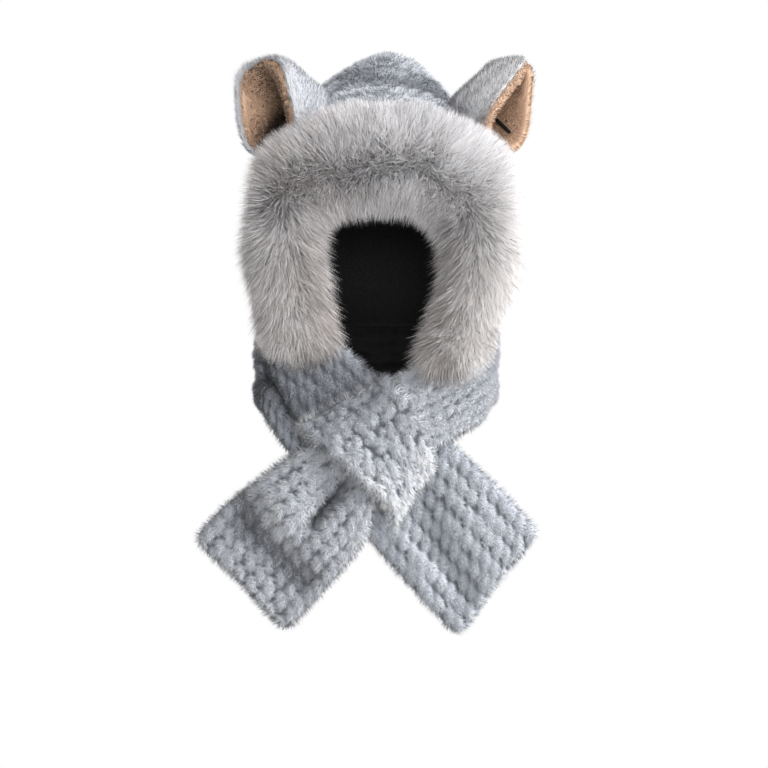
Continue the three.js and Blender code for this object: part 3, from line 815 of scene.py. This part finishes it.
# name, share of the roll where the part starts and ends, seed
RUFF_PARTS = (("ruff_left", 0, 0.37, 21), ("ruff_top", 0.37, 0.64, 22), ("ruff_right", 0.64, 1.01, 23))
ruff_parts = []
for name, low, high, seed in RUFF_PARTS:
    set_field(ruff_body, "dense", ruff_dense * ((ruff_way >= low) & (ruff_way < high)))
    ruff_parts.append(grown(name, ruff_body, LONG_STRAND, ruff_fur, seed, softness=0.65, **RUFF_SIZES))
ruff_body.data.attributes.remove(ruff_body.data.attributes["way"])
stands_for("ruff", "ruff_fur", ruff_body, *ruff_parts)

# The ears: each is a deep cup of two layers of plush sewn back to back, grey-white outside and tan
# inside, turned over a fat rolled rim and sewn on a front corner of the hood.
# heights up the ear, and its widths and depths there, as shares of the greatest
EARS = [
    dict(
        name="left",
        foot=(-98, -50, -40),
        tip=(-123, -46, 52),
        turn=-42,
        depth=67,
        tone=0.4,
        warm=0.15,
        streaks=0.05,
        hollow=0.45,
        shadow=(0.05, 0.6, 1.6),
        fringe=-1,
        fluff=1,
        inset=3,
        roll=5.8,
        rolled=(3.6, -2.6),
        heights=(0, 0.1, 0.2, 0.33, 0.45, 0.58, 0.68, 0.78, 0.86, 0.95, 1),
        widths=(0.5, 0.78, 0.9, 0.93, 0.94, 0.91, 0.89, 0.86, 0.8, 0.66, 0.42),
        depths=(1.0, 1.2, 1.28, 1.24, 1.14, 0.98, 0.76, 0.57, 0.42, 0.28, 0.2),
    ),
    dict(
        name="right",
        foot=(102, -48, -38),
        tip=(141, -38, 52.5),
        turn=45,
        depth=72,
        tone=0.3,
        warm=0.5,
        streaks=0.6,
        hollow=0.6,
        shadow=(-0.3, 0.3, 0.8),
        fringe=1,
        fluff=0,
        inset=1.5,
        roll=4.6,
        rolled=(-2.6, 3.6),
        heights=(0, 0.1, 0.22, 0.33, 0.45, 0.58, 0.72, 0.8, 0.88, 0.95, 1),
        widths=(0.3, 0.56, 0.73, 0.75, 0.71, 0.6, 0.48, 0.41, 0.34, 0.27, 0.19),
        depths=(0.8, 0.96, 1.05, 1.04, 1.0, 0.9, 0.78, 0.73, 0.7, 0.66, 0.6),
    ),
]
EAR_HALF_WIDTH = 44
EAR_SWEEP = 98  # degrees from the middle of the back to each edge
EAR_LIP = 6  # degrees that the lining goes further
EAR_WALL = 5
BACK_DEPTH = 1.5  # of the back's ground under the tips of its pile
EAR_LAYER_GAP = 0.7
EAR_GRID = (30, 40)  # rows up the ear, points along each
ROLL_GRID = (64, 10)  # points along the rolled rim, points round it
ROLL_KNOTS = 12  # up each side
ROLL_SWEEP = 103  # degrees from the middle of the back


class Ear:
    """The outer face of an ear's back as a grid, and the directions that the ear is drawn in."""

    def __init__(self, shape, lip, hollow=1.0):
        self.shape, self.hollow = shape, hollow
        self.foot, self.tip = np.array(shape["foot"], float), np.array(shape["tip"], float)
        self.up = unit(self.tip - self.foot)
        turn = math.radians(shape["turn"])
        mouth = np.array((math.sin(turn), -math.cos(turn), 0))
        self.mouth = unit(mouth - self.up * mouth.dot(self.up))
        self.side = np.cross(self.up, self.mouth)
        self.rows, self.columns = EAR_GRID
        heights = np.sin(np.linspace(0, math.pi / 2, self.rows))
        sweep = np.radians(np.linspace(EAR_SWEEP + lip, -EAR_SWEEP - lip, self.columns))
        self.grid = self.points(heights[:, None], sweep[None, :], 0)
        self.out = grid_normals(self.grid)
        if (self.out[self.rows // 2, self.columns // 2] * self.mouth).sum() > 0:
            self.out = -self.out
        self.place = np.linspace(1, -1, self.columns)[None, :] + 0 * heights[:, None]
        self.high = heights[:, None] + 0 * self.place

    def points(self, heights, sweep, inset):
        """Points at heights up the ear and turned by the sweep, as far inside the outer face as told."""
        width = np.interp(heights, self.shape["heights"], self.shape["widths"])
        closing = np.sqrt(np.clip(1 - (within(heights - 0.84) / 0.16) ** 2, 0.001, 1))
        depth = np.interp(heights, self.shape["heights"], self.shape["depths"]) * closing
        tall = np.linalg.norm(self.tip - self.foot) - inset
        half_width = np.maximum(EAR_HALF_WIDTH * width * np.abs(np.sin(sweep)) - inset, 1)
        sideways = np.sign(np.sin(sweep)) * half_width
        return (
            self.foot
            + self.up * (heights * tall + 0 * sweep)[..., None]
            + self.side * sideways[..., None]
            - self.mouth * (self.shape["depth"] * depth * np.cos(sweep) * self.hollow)[..., None]
        )


def tube(path, radius, around):
    """A closed tube along a path: its points, the way each one faces, and its faces."""
    along = unit(np.gradient(path, axis=0))
    first = unit(np.cross(along, np.gradient(along, axis=0) + np.array((1e-6, 2e-6, 3e-6))))
    first = first * np.sign((first * first[len(path) // 2]).sum(1))[:, None]
    second = np.cross(along, first)
    angle = np.linspace(0, 2 * math.pi, around, endpoint=False)[None, :, None]
    facing = first[:, None] * np.cos(angle) + second[:, None] * np.sin(angle)
    points = (path[:, None] + facing * radius[:, None, None]).reshape(-1, 3)
    number = np.arange(len(path) * around).reshape(len(path), around)
    after = np.roll(number, -1, axis=1)
    faces = np.stack([number[:-1], after[:-1], after[1:], number[1:]], axis=-1).reshape(-1, 4).tolist()
    faces += [number[0, ::-1].tolist(), number[-1].tolist()]
    return points, facing.reshape(-1, 3), faces


def ear_layer(name, ear, outer, inner, roll=()):
    """One layer of plush between two depths under the ear's outer face, with a rolled rim if given."""
    full = (1 - np.abs(ear.place) ** 14) ** 0.5 * (1 - ear.high**20) ** 0.5
    middle, half = (outer + inner) / 2, (outer - inner) / 2 * np.maximum(full, 0.06)
    far, near = (ear.out * depth[..., None] for depth in (middle + half, middle - half))
    points = of_wall(ear.grid - far, ear.grid - near)
    faces = closed_wall_faces(ear.rows, ear.columns)
    if roll:
        faces = faces + [[corner + len(points) for corner in face] for face in roll[2]]
        points = np.concatenate([points, roll[0]])
    return mesh_object(name, points, faces)


EAR_COOL = [(0, (0.30, 0.32, 0.36)), (0.45, (0.58, 0.61, 0.66)), (1, (0.93, 0.94, 0.97))]
EAR_WARM = [(0, (0.36, 0.34, 0.34)), (0.45, (0.66, 0.64, 0.64)), (1, (0.95, 0.94, 0.93))]
LINING_COOL = [(0, (0.035, 0.022, 0.016)), (0.5, (0.6, 0.39, 0.26)), (1, (0.96, 0.69, 0.49))]
LINING_WARM = [(0, (0.04, 0.025, 0.017)), (0.5, (0.64, 0.41, 0.27)), (1, (0.98, 0.71, 0.51))]
SHORT_ROOTS = [(0, (0.72, 0.7, 0.7)), (0.4, (0.9, 0.89, 0.89)), (0.8, (1, 1, 1))]
ear_fur = pile_finish("ear_fur", EAR_COOL, EAR_WARM, SHORT_ROOTS, 0.25)
ear_pile = pile_finish("ear_pile", LINING_COOL, LINING_WARM, SHORT_ROOTS, 0.2)
ear_ground = backing_finish("ear_ground", (0.25, 0.26, 0.27), (0.6, 0.61, 0.63), 900)
lining_ground = backing_finish("lining_ground", (0.02, 0.011, 0.007), (0.72, 0.51, 0.37), 1100)
BACK_SIZES = dict(
    strands_per_square_metre=1600000,
    length=5.6 * MM,
    width=0.6 * MM,
    length_scatter=0.35,
    lean_scatter=0.12,
    clump_size=9 * MM,
    clump_lean=0.25,
    curl=0.4,
    roll=0.6,
    patch_size=8 * MM,
)
LINING_SIZES = dict(
    strands_per_square_metre=1500000,
    length=2.8 * MM,
    width=0.8 * MM,
    length_scatter=0.3,
    lean_scatter=0.2,
    clump_size=4 * MM,
    clump_lean=0.8,
    curl=0.5,
    roll=0.6,
    tone_scatter=0.14,
    patch_size=3.5 * MM,
    patch_tone=0.7,
)
for shape in EARS:
    name, streaky = "ear_" + shape["name"], shape["streaks"]
    ear = Ear(shape, 0)
    backs = ear_layer(name + "_back_skin", ear, BACK_DEPTH, EAR_WALL)
    # the rim, its share that is fluffy, and the fringe that stands off its outer side and its top
    outer = shape["fringe"] * ear.place
    rim = np.maximum(within((np.abs(ear.place) - 0.86) / 0.1), within((ear.high - 0.93) / 0.05))
    fluff = rim * (1 - within(2 * outer + 0.5) * (1 - shape["fluff"]))
    fringe = fluff * within(0.25 + 0.75 * outer + 7 * (ear.high - 0.9))
    from_heart = ear.grid - ear.foot - 0.4 * (ear.tip - ear.foot)
    outwards = unit(from_heart - ear.mouth * (from_heart @ ear.mouth)[..., None])
    # streaks across the back, which is also darker towards its foot
    streaks = 0.5 * np.sin(ear.place * 8 + 1) + 0.4 * np.sin(ear.place * 21 + ear.high * 2)
    streaks = streaks + 0.5 * within(-2.2 * outer - 1) - 1.6 * within(0.6 - ear.high)
    combed = ear.up * 0.9 + np.array((0, -0.25, 0)) + fringe[..., None] * (outwards * 1.6 + ear.mouth * 0.4)
    combed = combed + (fluff - fringe)[..., None] * (outwards * 0.3 + ear.mouth * 0.8)
    store(
        backs,
        out=own_normals(backs),
        lay=of_wall(combed),
        rise=of_wall(0.36 - 0.06 * fringe),
        reach=of_wall(1 + 0.5 * fringe),
        tone=of_wall(shape["tone"] + streaky * streaks + 0.1 * fringe + 0.25 * fluff),
        warm=of_wall(0 * rim + shape["warm"]),
        pit=of_wall(0 * rim + 0.3),
        dense=of_wall(1 + 1.4 * fluff - 0.6 * rim, 1.6 * fluff),
    )
    number, wall_faces = np.arange(len(backs.data.polygons)), (ear.rows - 1) * (ear.columns - 1)
    two_finishes(backs, ear_ground, lining_ground, (number >= wall_faces) & (number < 2 * wall_faces))
    tones = dict(tone_scatter=0.7 * streaky + 0.03, patch_tone=0.3 + 1.5 * streaky)
    back_pile = grown(name + "_back_pile", backs, SHORT_STRAND, ear_fur, 31, **BACK_SIZES, **tones)

    # the lining, with the roll along its rim that thins towards both feet
    cup = Ear(shape, EAR_LIP, shape["hollow"])
    sweep = math.radians(ROLL_SWEEP)
    rolled = 0.15 + 0.85 * within(np.linspace(*shape["rolled"], ROLL_GRID[0]))
    thickness = shape["roll"] * rolled
    half = np.linspace(0, ROLL_GRID[0] / 2 - 1, ROLL_KNOTS).astype(int)
    inset = np.stack([thickness[half], thickness[::-1][half]], axis=1) + shape["inset"]
    edge = cup.points(np.linspace(0.02, 1, ROLL_KNOTS)[:, None], np.array([[sweep, -sweep]]), inset)
    path = spaced_curve(np.concatenate([edge[:, 0], edge[::-1, 1]]), ROLL_GRID[0])
    roll = tube(path, thickness, ROLL_GRID[1])
    first = EAR_WALL + EAR_LAYER_GAP
    lining = ear_layer(name + "_inner_skin", cup, first, first + EAR_WALL - 1, roll)
    # painted shadow in the lining's hollow, wider and darker low down, and painted shade over its lower
    # part; its ground is painted darker where its pile is
    darkest, spread, darkness = shape["shadow"]
    widening = spread * (1.9 - 1.75 * cup.high)
    dark = bell(cup.place - darkest, widening) * np.clip(1.8 - 2.4 * cup.high, 0.36, 1)
    dark = within(darkness * dark)
    light = within(1 - dark - 0.2 * within(1 - cup.high * 1.5))
    full = np.repeat(within((rolled - 0.2) / 0.3), ROLL_GRID[1])
    edge = within((shape["fringe"] * cup.place - 0.8) / 0.15)
    upright = ear.up * 0.4 + np.array((0, -0.2, 0))
    combed = upright + edge[..., None] * outwards * 1.4
    store(
        lining,
        out=own_normals(lining),
        lay=np.concatenate([of_wall(combed), np.tile(upright, (len(full), 1))]),
        rise=np.full(len(lining.data.vertices), 0.5),
        reach=np.concatenate([of_wall(1 + edge), 0 * full + 1]),
        tone=np.concatenate([of_wall(light), 0 * full + 0.58]),
        warm=np.full(len(lining.data.vertices), 0.5),
        pit=np.concatenate([of_wall(1 - light), full * 0.3]),
        dense=np.concatenate([of_wall(0 * light, 1), full]),
    )
    lining.data.materials.append(lining_ground)
    lining_pile = grown(name + "_inner_pile", lining, SHORT_STRAND, ear_pile, 41, **LINING_SIZES)
    stands_for(name + "_back", "ear_plush", backs, back_pile)
    stands_for(name + "_inner", "ear_lining", lining, lining_pile)

# The tack: a short thick bar of black sewing thread, wound turn beside turn, that holds the lining of
# the right ear in its fold.
TACK_ENDS = ((111.5, -2.5), (126.5, -18))  # x and z where its ends are seen from the front
TACK_DIAMETER = 4
TACK_TURNS = 21
THREAD_DIAMETER = 1.25
TACK_LIFT = 0.3  # of its diameter, out of the lining
TACK_FORWARD = 0.7  # of its diameter, to the front


def wound_tree():
    """Geometry Nodes that wind a closed bar of thread along Z, turn beside turn."""
    sizes = ["Length", "Bar radius", "Thread radius"]
    tree, wires = new_tree("wound", {"Int": ["Turns"], "Float": sizes, "Material": ["Finish"]}, "Bar")
    node, number = wires.node, wires.number
    given = node("NodeGroupInput").outputs
    step = node("ShaderNodeCombineXYZ", {2: number("DIVIDE", given["Length"], given["Turns"])}).outputs[0]
    middles = node("GeometryNodeMeshLine", {"Count": given["Turns"], "Offset": step}).outputs["Mesh"]
    radius = number("SUBTRACT", given["Bar radius"], given["Thread radius"])
    ring = node("GeometryNodeCurvePrimitiveCircle", {"Resolution": 14, "Radius": radius}).outputs["Curve"]
    inputs = {"Resolution": 6, "Radius": given["Thread radius"]}
    thread = node("GeometryNodeCurvePrimitiveCircle", inputs).outputs["Curve"]
    turn = node("GeometryNodeCurveToMesh", {"Curve": ring, "Profile Curve": thread}).outputs["Mesh"]
    # the turns get smaller towards both ends of the bar
    last = number("SUBTRACT", given["Turns"], 1.0)
    share = number("DIVIDE", node("GeometryNodeInputIndex").outputs[0], last)
    from_middle = number("ABSOLUTE", number("MULTIPLY_ADD", share, 2.0, -1.0))
    size = number("SQRT", number("SUBTRACT", 1.08, number("POWER", from_middle, 8.0)))
    inputs = {"Points": middles, "Instance": turn, "Rotation": (0.12, 0, 0), "Scale": size}
    wound = node("GeometryNodeInstanceOnPoints", inputs).outputs["Instances"]
    real = node("GeometryNodeRealizeInstances", {"Geometry": wound}).outputs["Geometry"]
    finish = node("GeometryNodeSetMaterial", {"Geometry": real, "Material": given["Finish"]})
    node("NodeGroupOutput", {"Bar": finish.outputs["Geometry"]})
    return tree


bpy.context.view_layer.update()
right_lining = bpy.data.objects["ear_right_inner_skin"]
tack_ends = []
forward = Vector((0, TACK_DIAMETER * TACK_FORWARD * MM, 0))
for x, z in TACK_ENDS:
    _, place, facing, _ = right_lining.ray_cast(Vector((x * MM, -1, z * MM)), Vector((0, 1, 0)))
    tack_ends.append(place + facing * TACK_DIAMETER * TACK_LIFT * MM - forward)
tack_along = tack_ends[1] - tack_ends[0]
tack_seed = placed("tack_seed", bpy.data.meshes.new("tack_seed"))
tack_values = {
    "Turns": TACK_TURNS,
    "Length": tack_along.length,
    "Bar radius": TACK_DIAMETER / 2 * MM,
    "Thread radius": THREAD_DIAMETER / 2 * MM,
    "Finish": backing_finish("thread", (0.004, 0.004, 0.004), (0.012, 0.012, 0.012), 2600, 0.1),
}
tack_mesh = made_on(tack_seed, wound_tree(), tack_values)
bpy.data.objects.remove(tack_seed)
tack_mesh.transform(tack_along.to_track_quat("Z", "Y").to_matrix().to_4x4())
for point in tack_mesh.vertices:
    point.co += tack_ends[0]
tack_mesh.shade_smooth()
tack = placed("tack", tack_mesh)
stands_for("ear_tack", "thread", tack)

# The scarf: one long strip of the same knit with its rows along it. It runs from the end of the right
# tail up under the loop, round the neck from left to right, and down through the loop to the left tail.
# upper edge x, y, z, lower edge x, y, z, bulge, depth of the fold, place of the fold, thickness
SCARF_ROWS = np.array(
    [
        (154, -92, -408, 71, -95, -516, 2, 1, -0.4, 1),
        (114, -90, -366, 28, -92, -470, 5, 5, -0.35, 1),
        (72, -86, -326, -12, -86, -425, 4, 4, -0.3, 1),
        (16, -83, -277, -55, -83, -378, 2, 0, 0, 1),
        (-39, -78, -228, -98, -78, -330, 3, 4, -0.45, 1),
        (-81, -66, -206, -117, -62, -299, 6, 7, -0.4, 1),
        (-105, -38, -199, -121, -32, -288, 6, 7, -0.35, 1),
        (-114, 5, -197, -122, 12, -288, 7, 4, -0.3, 1),
        (-98, 53, -197, -112, 64, -290, 7, 2, -0.3, 1),
        (-62, 94, -198, -73, 111, -293, 8, 2, -0.3, 1),
        (0, 111, -198, 0, 132, -294, 8, 3, -0.3, 1),
        (62, 94, -198, 71, 110, -292, 8, 2, -0.3, 1),
        (96, 53, -197, 106, 62, -288, 5, 2, -0.3, 1),
        (106, 5, -199, 104, 8, -284, 4, 3, -0.2, 1),
        (100, -46, -208, 98, -46, -294, 3, 5, -0.1, 1),
        (62, -88, -226, 88, -86, -309, 5, 5, 0, 1.05),
        (14, -104, -256, 47, -104, -333, 2, 2, 0, 1.2),
        (-28, -106, -301, 2, -106, -363, 0, 0, 0, 1.35),
        (-84, -104, -328, -18, -104, -420, 7, 8, -0.05, 1.1),
        (-124, -103, -357, -42.5, -103, -452.5, 11, 5, -0.1, 1),
        (-158, -102, -384, -65.5, -101, -478.5, 1, 1, 0, 1),
        (-188, -99, -414, -94, -98, -511, 5, 0, 0, 1),
    ],
    float,
)
# creases, hollows and swellings of the tails, and spots of painted shade and light: x, z of both ends, half
# width, depth, how much painted shade (painted light below 0)
DENTS = [
    ((-38, -361), (-70, -403), 6.5, 10, 1.0),
    ((-38, -361), (-76, -410), 17, 3, 0.12),
    ((-92, -396), (-98, -388), 20, -6, -0.15),
    ((-146, -366), (-134, -402), 15, 6, 0.65),
    ((-134, -402), (-80, -455), 15, 6, 0.75),
    ((-125, -440), (-85, -480), 55, 0, 0.2),
    ((36, -370), (72, -470), 19, 6, 0.2),
    ((40, -278), (100, -298), 30, 0, -0.2),
    ((-127, -240), (-88, -303), 7, 9, 1.0),
    ((-142, -240), (-110, -315), 30, 0, 0.4),
    ((-105, -262), (-40, -272), 22, 0, 1.15),
]
DENTS_IN_FRONT_OF = -15
SCARF_THICKNESS = 13
SCARF_GRID = (350, 42)  # points along the strip and across it
KNIT_ROWS = 8  # over the whole width of the strip
FOLD_WIDTH = 0.22
HALF_WIDTH = 65
NECK_FROM = -62  # how far forward the neck's dark inner side comes
NAPE_FROM = 20  # how far back the hood covers the strip's upper edge
SCARF_CORNER = 14
END_ROUND = 7
EDGE_ROUND = 10  # how late towards its edges the strip thins
SIDE_SHRINK = 2.8  # how far inside the CAD strip's edges the knit ends
END_SHRINK = 4.0
PILE_DEPTH = 1.6  # of the strip's half thickness, above the ground
RELIEF = 4.6
LEAST_HALF = 0.3  # of the strip's thickness, where it thins out
RIM_TILT = 1.1  # how far the pile turns outwards at the strip's edges and ends


class Strip:
    """A knitted strip's middle surface, its directions, and its places along and across."""

    def __init__(self, table, rows, columns, corner, dents=()):
        values = smooth_rows(table, rows)
        upper, lower = values[:, None, :3], values[:, None, 3:6]
        self.thick = values[:, 9:10]
        place = np.linspace(-1, 1, columns)[None, :]
        middle = (upper[:, 0] + lower[:, 0]) / 2
        along = np.gradient(middle, axis=0)
        outward = unit(np.cross(upper[:, 0] - lower[:, 0], along))
        fold = bell(place - values[:, 8:9], FOLD_WIDTH)
        rise = values[:, 6:7] * (1 - place**2) - values[:, 7:8] * fold
        self.way = way_over(middle)[:, None] + 0 * place
        to_end = np.minimum(self.way, self.way[-1, 0] - self.way)
        rounding = 1 - np.sqrt(1 - within(1 - to_end / corner) ** 2)
        narrowed = place * (1 - corner / HALF_WIDTH * rounding)
        flat = lower + (upper - lower) * ((narrowed + 1) / 2)[..., None]
        self.face = flat + outward[:, None] * rise[..., None]
        self.shade = 0 * rise
        # each dent sinks the face, and its painted shade darkens the knit there (painted light where below
        # 0)
        for start, end, width, depth, shade in dents:
            start, end = np.array(start, float), np.array(end, float)
            spot = self.face[..., ::2] - start
            share = within((spot @ (end - start)) / max((end - start) @ (end - start), 1e-6))
            gap = np.linalg.norm(spot - share[..., None] * (end - start), axis=-1)
            dent = bell(gap, width) * (self.face[..., 1] < DENTS_IN_FRONT_OF)
            self.face = self.face - (depth * dent)[..., None] * outward[:, None]
            self.shade = self.shade + shade * dent
        self.out = grid_normals(self.face)
        down, across = grid_slopes(self.face)
        self.along, self.across = unit(down), unit(across)
        self.place = place + 0 * self.way
        self.end = within(1 - to_end / END_ROUND) * np.where(self.way < self.way[-1, 0] / 2, -1, 1)
        self.edge = within((np.abs(place) - 0.88) / 0.12) * np.sign(self.place)


def knit_strip(name, strip, thickness, slant, lay, salt, loose=0.16, scallop=1.0, relief=1.0):
    """The relief of a knitted strip on both its faces, as one closed wall with what its pile needs."""
    fullness = (1 - np.abs(strip.place) ** EDGE_ROUND) ** 0.5 * (1 - np.abs(strip.end) ** 2) ** 0.5
    half = (thickness / 2 * strip.thick - PILE_DEPTH) * fullness
    shrink = 1 - SIDE_SHRINK / HALF_WIDTH
    rim = np.maximum(np.abs(strip.edge), np.abs(strip.end))
    width = np.linalg.norm(strip.face[:, -1] - strip.face[:, 0], axis=-1)[:, None] / 2
    ends = -END_SHRINK * np.sign(strip.end) * np.abs(strip.end)
    sides = []
    for side in (1, -1):
        rows_across = (strip.place * side + 1) / 2 * KNIT_ROWS
        places = strip.way / STITCH_LENGTH + salt + 40 * side
        puff, lean, light = knit_puffs(places, rows_across, slant * side, loose)
        depth = half - RELIEF * relief * (1 - puff) * fullness
        inward = -(1 - shrink) * strip.place + scallop * (puff - 0.6) * strip.edge / width
        point = strip.face + strip.out * (side * np.maximum(depth, LEAST_HALF))[..., None]
        point = point + strip.across * (inward * width)[..., None] + strip.along * ends[..., None]
        out = strip.out * (side * fullness)[..., None] + strip.across * (strip.edge * RIM_TILT)[..., None]
        out = out + strip.along * (strip.end * RIM_TILT)[..., None]
        fields = dict(
            point=point,
            out=unit(out),
            lay=unit(lay + strip.across * (lean * side * 0.55)[..., None]),
            # the outer face takes the dents' painted shade and light
            tone=knit_tone(0.58, light, puff, 0.9) - strip.shade * (side > 0),
            **pile_on(puff, rim),
        )
        sides.append(fields)
    whole = {field: of_wall(*(fields[field] for fields in sides)) for field in sides[0]}
    item = mesh_object(name, whole.pop("point"), closed_wall_faces(*strip.place.shape))
    whole["out"] = relief_normals(item, whole["out"])
    store(item, **whole)
    return item


scarf_strip = Strip(SCARF_ROWS, *SCARF_GRID, SCARF_CORNER, DENTS)
half_way = scarf_strip.way[-1, 0] / 2
towards_end = np.tanh((scarf_strip.way - half_way) / 60)
scarf_lay = scarf_strip.along * towards_end[..., None] * 0.9 + np.array((0, 0, -0.35))
scarf_slant = 0.65 * towards_end
scarf_knit = knit_strip("scarf_knit", scarf_strip, SCARF_THICKNESS, scarf_slant, scarf_lay, salt=0)
store(scarf_knit, warm=of_wall(0.2 + 0.16 * towards_end))
# the inside of the neck is bare and painted near-black as shade, and the upper edge at the nape, which the
# hood covers, is bare
behind = scarf_strip.face[..., 1] > NECK_FROM
wall_faces = (SCARF_GRID[0] - 1) * (SCARF_GRID[1] - 1)
inner_faces = np.zeros(len(scarf_knit.data.polygons), bool)
inner_faces[wall_faces : 2 * wall_faces] = behind[:-1, :-1].ravel()
two_finishes(scarf_knit, knit_ground, painted_shade_inside, inner_faces)
shows = 1 - of_wall(0 * behind, behind)
at_nape = (scarf_strip.place > 0.85) & (scarf_strip.face[..., 1] > NAPE_FROM)
set_field(scarf_knit, "pit", field_of(scarf_knit, "pit") * shows)
scarf_dense = field_of(scarf_knit, "dense") * shows * of_wall(1 - at_nape)
first_half = of_wall(scarf_strip.way < half_way)
scarf_piles = []
for name, part, seed in (("scarf_pile_right", first_half, 5), ("scarf_pile_left", ~first_half, 6)):
    set_field(scarf_knit, "dense", scarf_dense * part)
    scarf_piles.append(grown(name, scarf_knit, SHORT_STRAND, knit_pile, seed, **KNIT_SIZES))
set_field(scarf_knit, "dense", scarf_dense)
stands_for("scarf", "knit", scarf_knit, *scarf_piles)

# The loop: a short piece of the same knit, sewn over the scarf's left band by both its ends, that the
# right band is drawn through.
# upper edge x, y, z, lower edge x, y, z, bulge, depth of the fold, place of the fold, thickness
LOOP_ROWS = np.array(
    [
        (3, -100, -255, -87, -98, -306, 1, 0, 0, 0.9),
        (15, -116, -270, -68, -117, -325, 3, 0, 0, 1),
        (29, -123, -289, -46, -124, -341, 4, 0, 0, 1),
        (39, -123, -311, -24, -124, -362, 4, 0, 0, 1),
        (45, -115, -331, -1, -115, -381, 3, 0, 0, 1),
        (46, -99, -350, 12, -99, -406, 1, 0, 0, 0.9),
    ],
    float,
)
LOOP_THICKNESS = 12
LOOP_GRID = (52, 36)
LOOP_CORNER = 7
loop_strip = Strip(LOOP_ROWS, *LOOP_GRID, LOOP_CORNER)
loop_lay = loop_strip.along * 0.7 + np.array((0, 0, -0.5))
loop_looks = dict(slant=0.42, lay=loop_lay, salt=7, loose=0.5, scallop=5.0, relief=1.3)
loop_knit = knit_strip("loop_knit", loop_strip, LOOP_THICKNESS, **loop_looks)
down_loop = loop_strip.way / loop_strip.way[-1, 0]
off_middle = 1 - np.exp(-((loop_strip.place / 0.55) ** 2) - ((down_loop - 0.5) / 0.27) ** 2)
store(loop_knit, warm=of_wall((0.4 - 0.1 * down_loop) * off_middle))
lower, upper = within(down_loop * 2 - 1), within(1 - down_loop * 2)
loop_light = 0.1 + 0.35 * lower * off_middle - 0.15 * upper
set_field(loop_knit, "tone", field_of(loop_knit, "tone") + of_wall(loop_light))
loop_knit.data.materials.append(knit_ground)
LOOP_SIZES = {
    **KNIT_SIZES,
    "strands_per_square_metre": 1500000,
    "length": 5.2 * MM,
    "clump_size": 5 * MM,
    "clump_lean": 0.8,
    "tone_scatter": 0.12,
}
loop_pile = grown("loop_pile", loop_knit, SHORT_STRAND, knit_pile, 9, **LOOP_SIZES)
stands_for("scarf_loop", "knit", loop_knit, loop_pile)

# The setting: a round pale floor far under the hanging scarf, white surroundings, soft lamps and the
# camera, level with the middle of the scarf as in the photograph.
CAMERA_DISTANCE = 4
CAMERA_HEIGHT = -0.266
SENSOR_WIDTH = 36
LENS = 187.5
FLOOR_RADIUS = 7
FLOOR_HEIGHT = -1.4
FLOOR_GREY = 0.86
SEEN_LIGHT = 1.0  # of the white surroundings, to the camera
CAST_LIGHT = 0.18  # of the same, on the scarf
# name, place, what it points at, width, watts
SOFT_LAMPS = (
    ("side", (2.8, -1.2, 0.5), (0, 0, -0.2), 1.2, 126),
    ("top", (0.6, -1.6, 2.6), (0, 0, -0.2), 1.4, 48),
    ("front", (0.2, -3.3, 0.4), (0, 0, -0.2), 1.2, 34),
    ("back", (-1.5, 2.4, 1.2), (0, 0, -0.1), 1.4, 80),
)
# name, place, what it points at, watts
EAR_LAMPS = (
    ("left ear", (0.35, -1.6, 0.45), (-0.115, -0.05, 0.01), 52),
    ("right ear", (-0.3, -1.7, 0.3), (0.128, -0.04, 0.01), 26),
)
EAR_LAMP_ANGLE = 6.5
EAR_LAMP_WIDTH = 0.08


def lamp(name, kind, place, target, power, **settings):
    """Places a lamp that points at its target."""
    light = bpy.data.lights.new(name, kind)
    light.energy = power
    for setting, value in settings.items():
        setattr(light, setting, value)
    item = placed(name, light)
    item.location = place
    item.rotation_euler = (Vector(target) - Vector(place)).to_track_quat("-Z", "Y").to_euler()


for prototype in (SHORT_STRAND, LONG_STRAND):
    bpy.data.objects.remove(prototype)
scene = bpy.context.scene
camera = placed("camera", bpy.data.cameras.new("camera"))
camera.location = (0, -CAMERA_DISTANCE, CAMERA_HEIGHT)
camera.rotation_euler = (math.radians(90), 0, 0)
camera.data.sensor_width = SENSOR_WIDTH
camera.data.lens = LENS
camera.data.clip_end = 60
scene.camera = camera
scene.view_settings.view_transform = "Standard"

bpy.ops.mesh.primitive_circle_add(
    vertices=96, radius=FLOOR_RADIUS, fill_type="NGON", location=(0, 0, FLOOR_HEIGHT)
)
floor = bpy.context.object
floor.name = "floor"
floor_finish, wires, shader = new_finish("floor")
wires.fill(shader, {"Base Color": (FLOOR_GREY, FLOOR_GREY, FLOOR_GREY, 1), "Roughness": 0.9})
floor.data.materials.append(floor_finish)

scene.world = bpy.data.worlds.new("white")
scene.world.use_nodes = True
wires = Wiring(scene.world.node_tree)
to_camera = wires.node("ShaderNodeLightPath").outputs["Is Camera Ray"]
strength = wires.number("MULTIPLY_ADD", to_camera, SEEN_LIGHT - CAST_LIGHT, CAST_LIGHT)
wires.fill(wires.nodes["Background"], {"Strength": strength, "Color": (1, 1, 1, 1)})
for name, place, target, width, power in SOFT_LAMPS:
    lamp(name, "AREA", place, target, power, shape="DISK", size=width)
for name, place, target, power in EAR_LAMPS:
    angle = math.radians(EAR_LAMP_ANGLE)
    lamp(name, "SPOT", place, target, power, spot_size=angle, spot_blend=1, shadow_soft_size=EAR_LAMP_WIDTH)
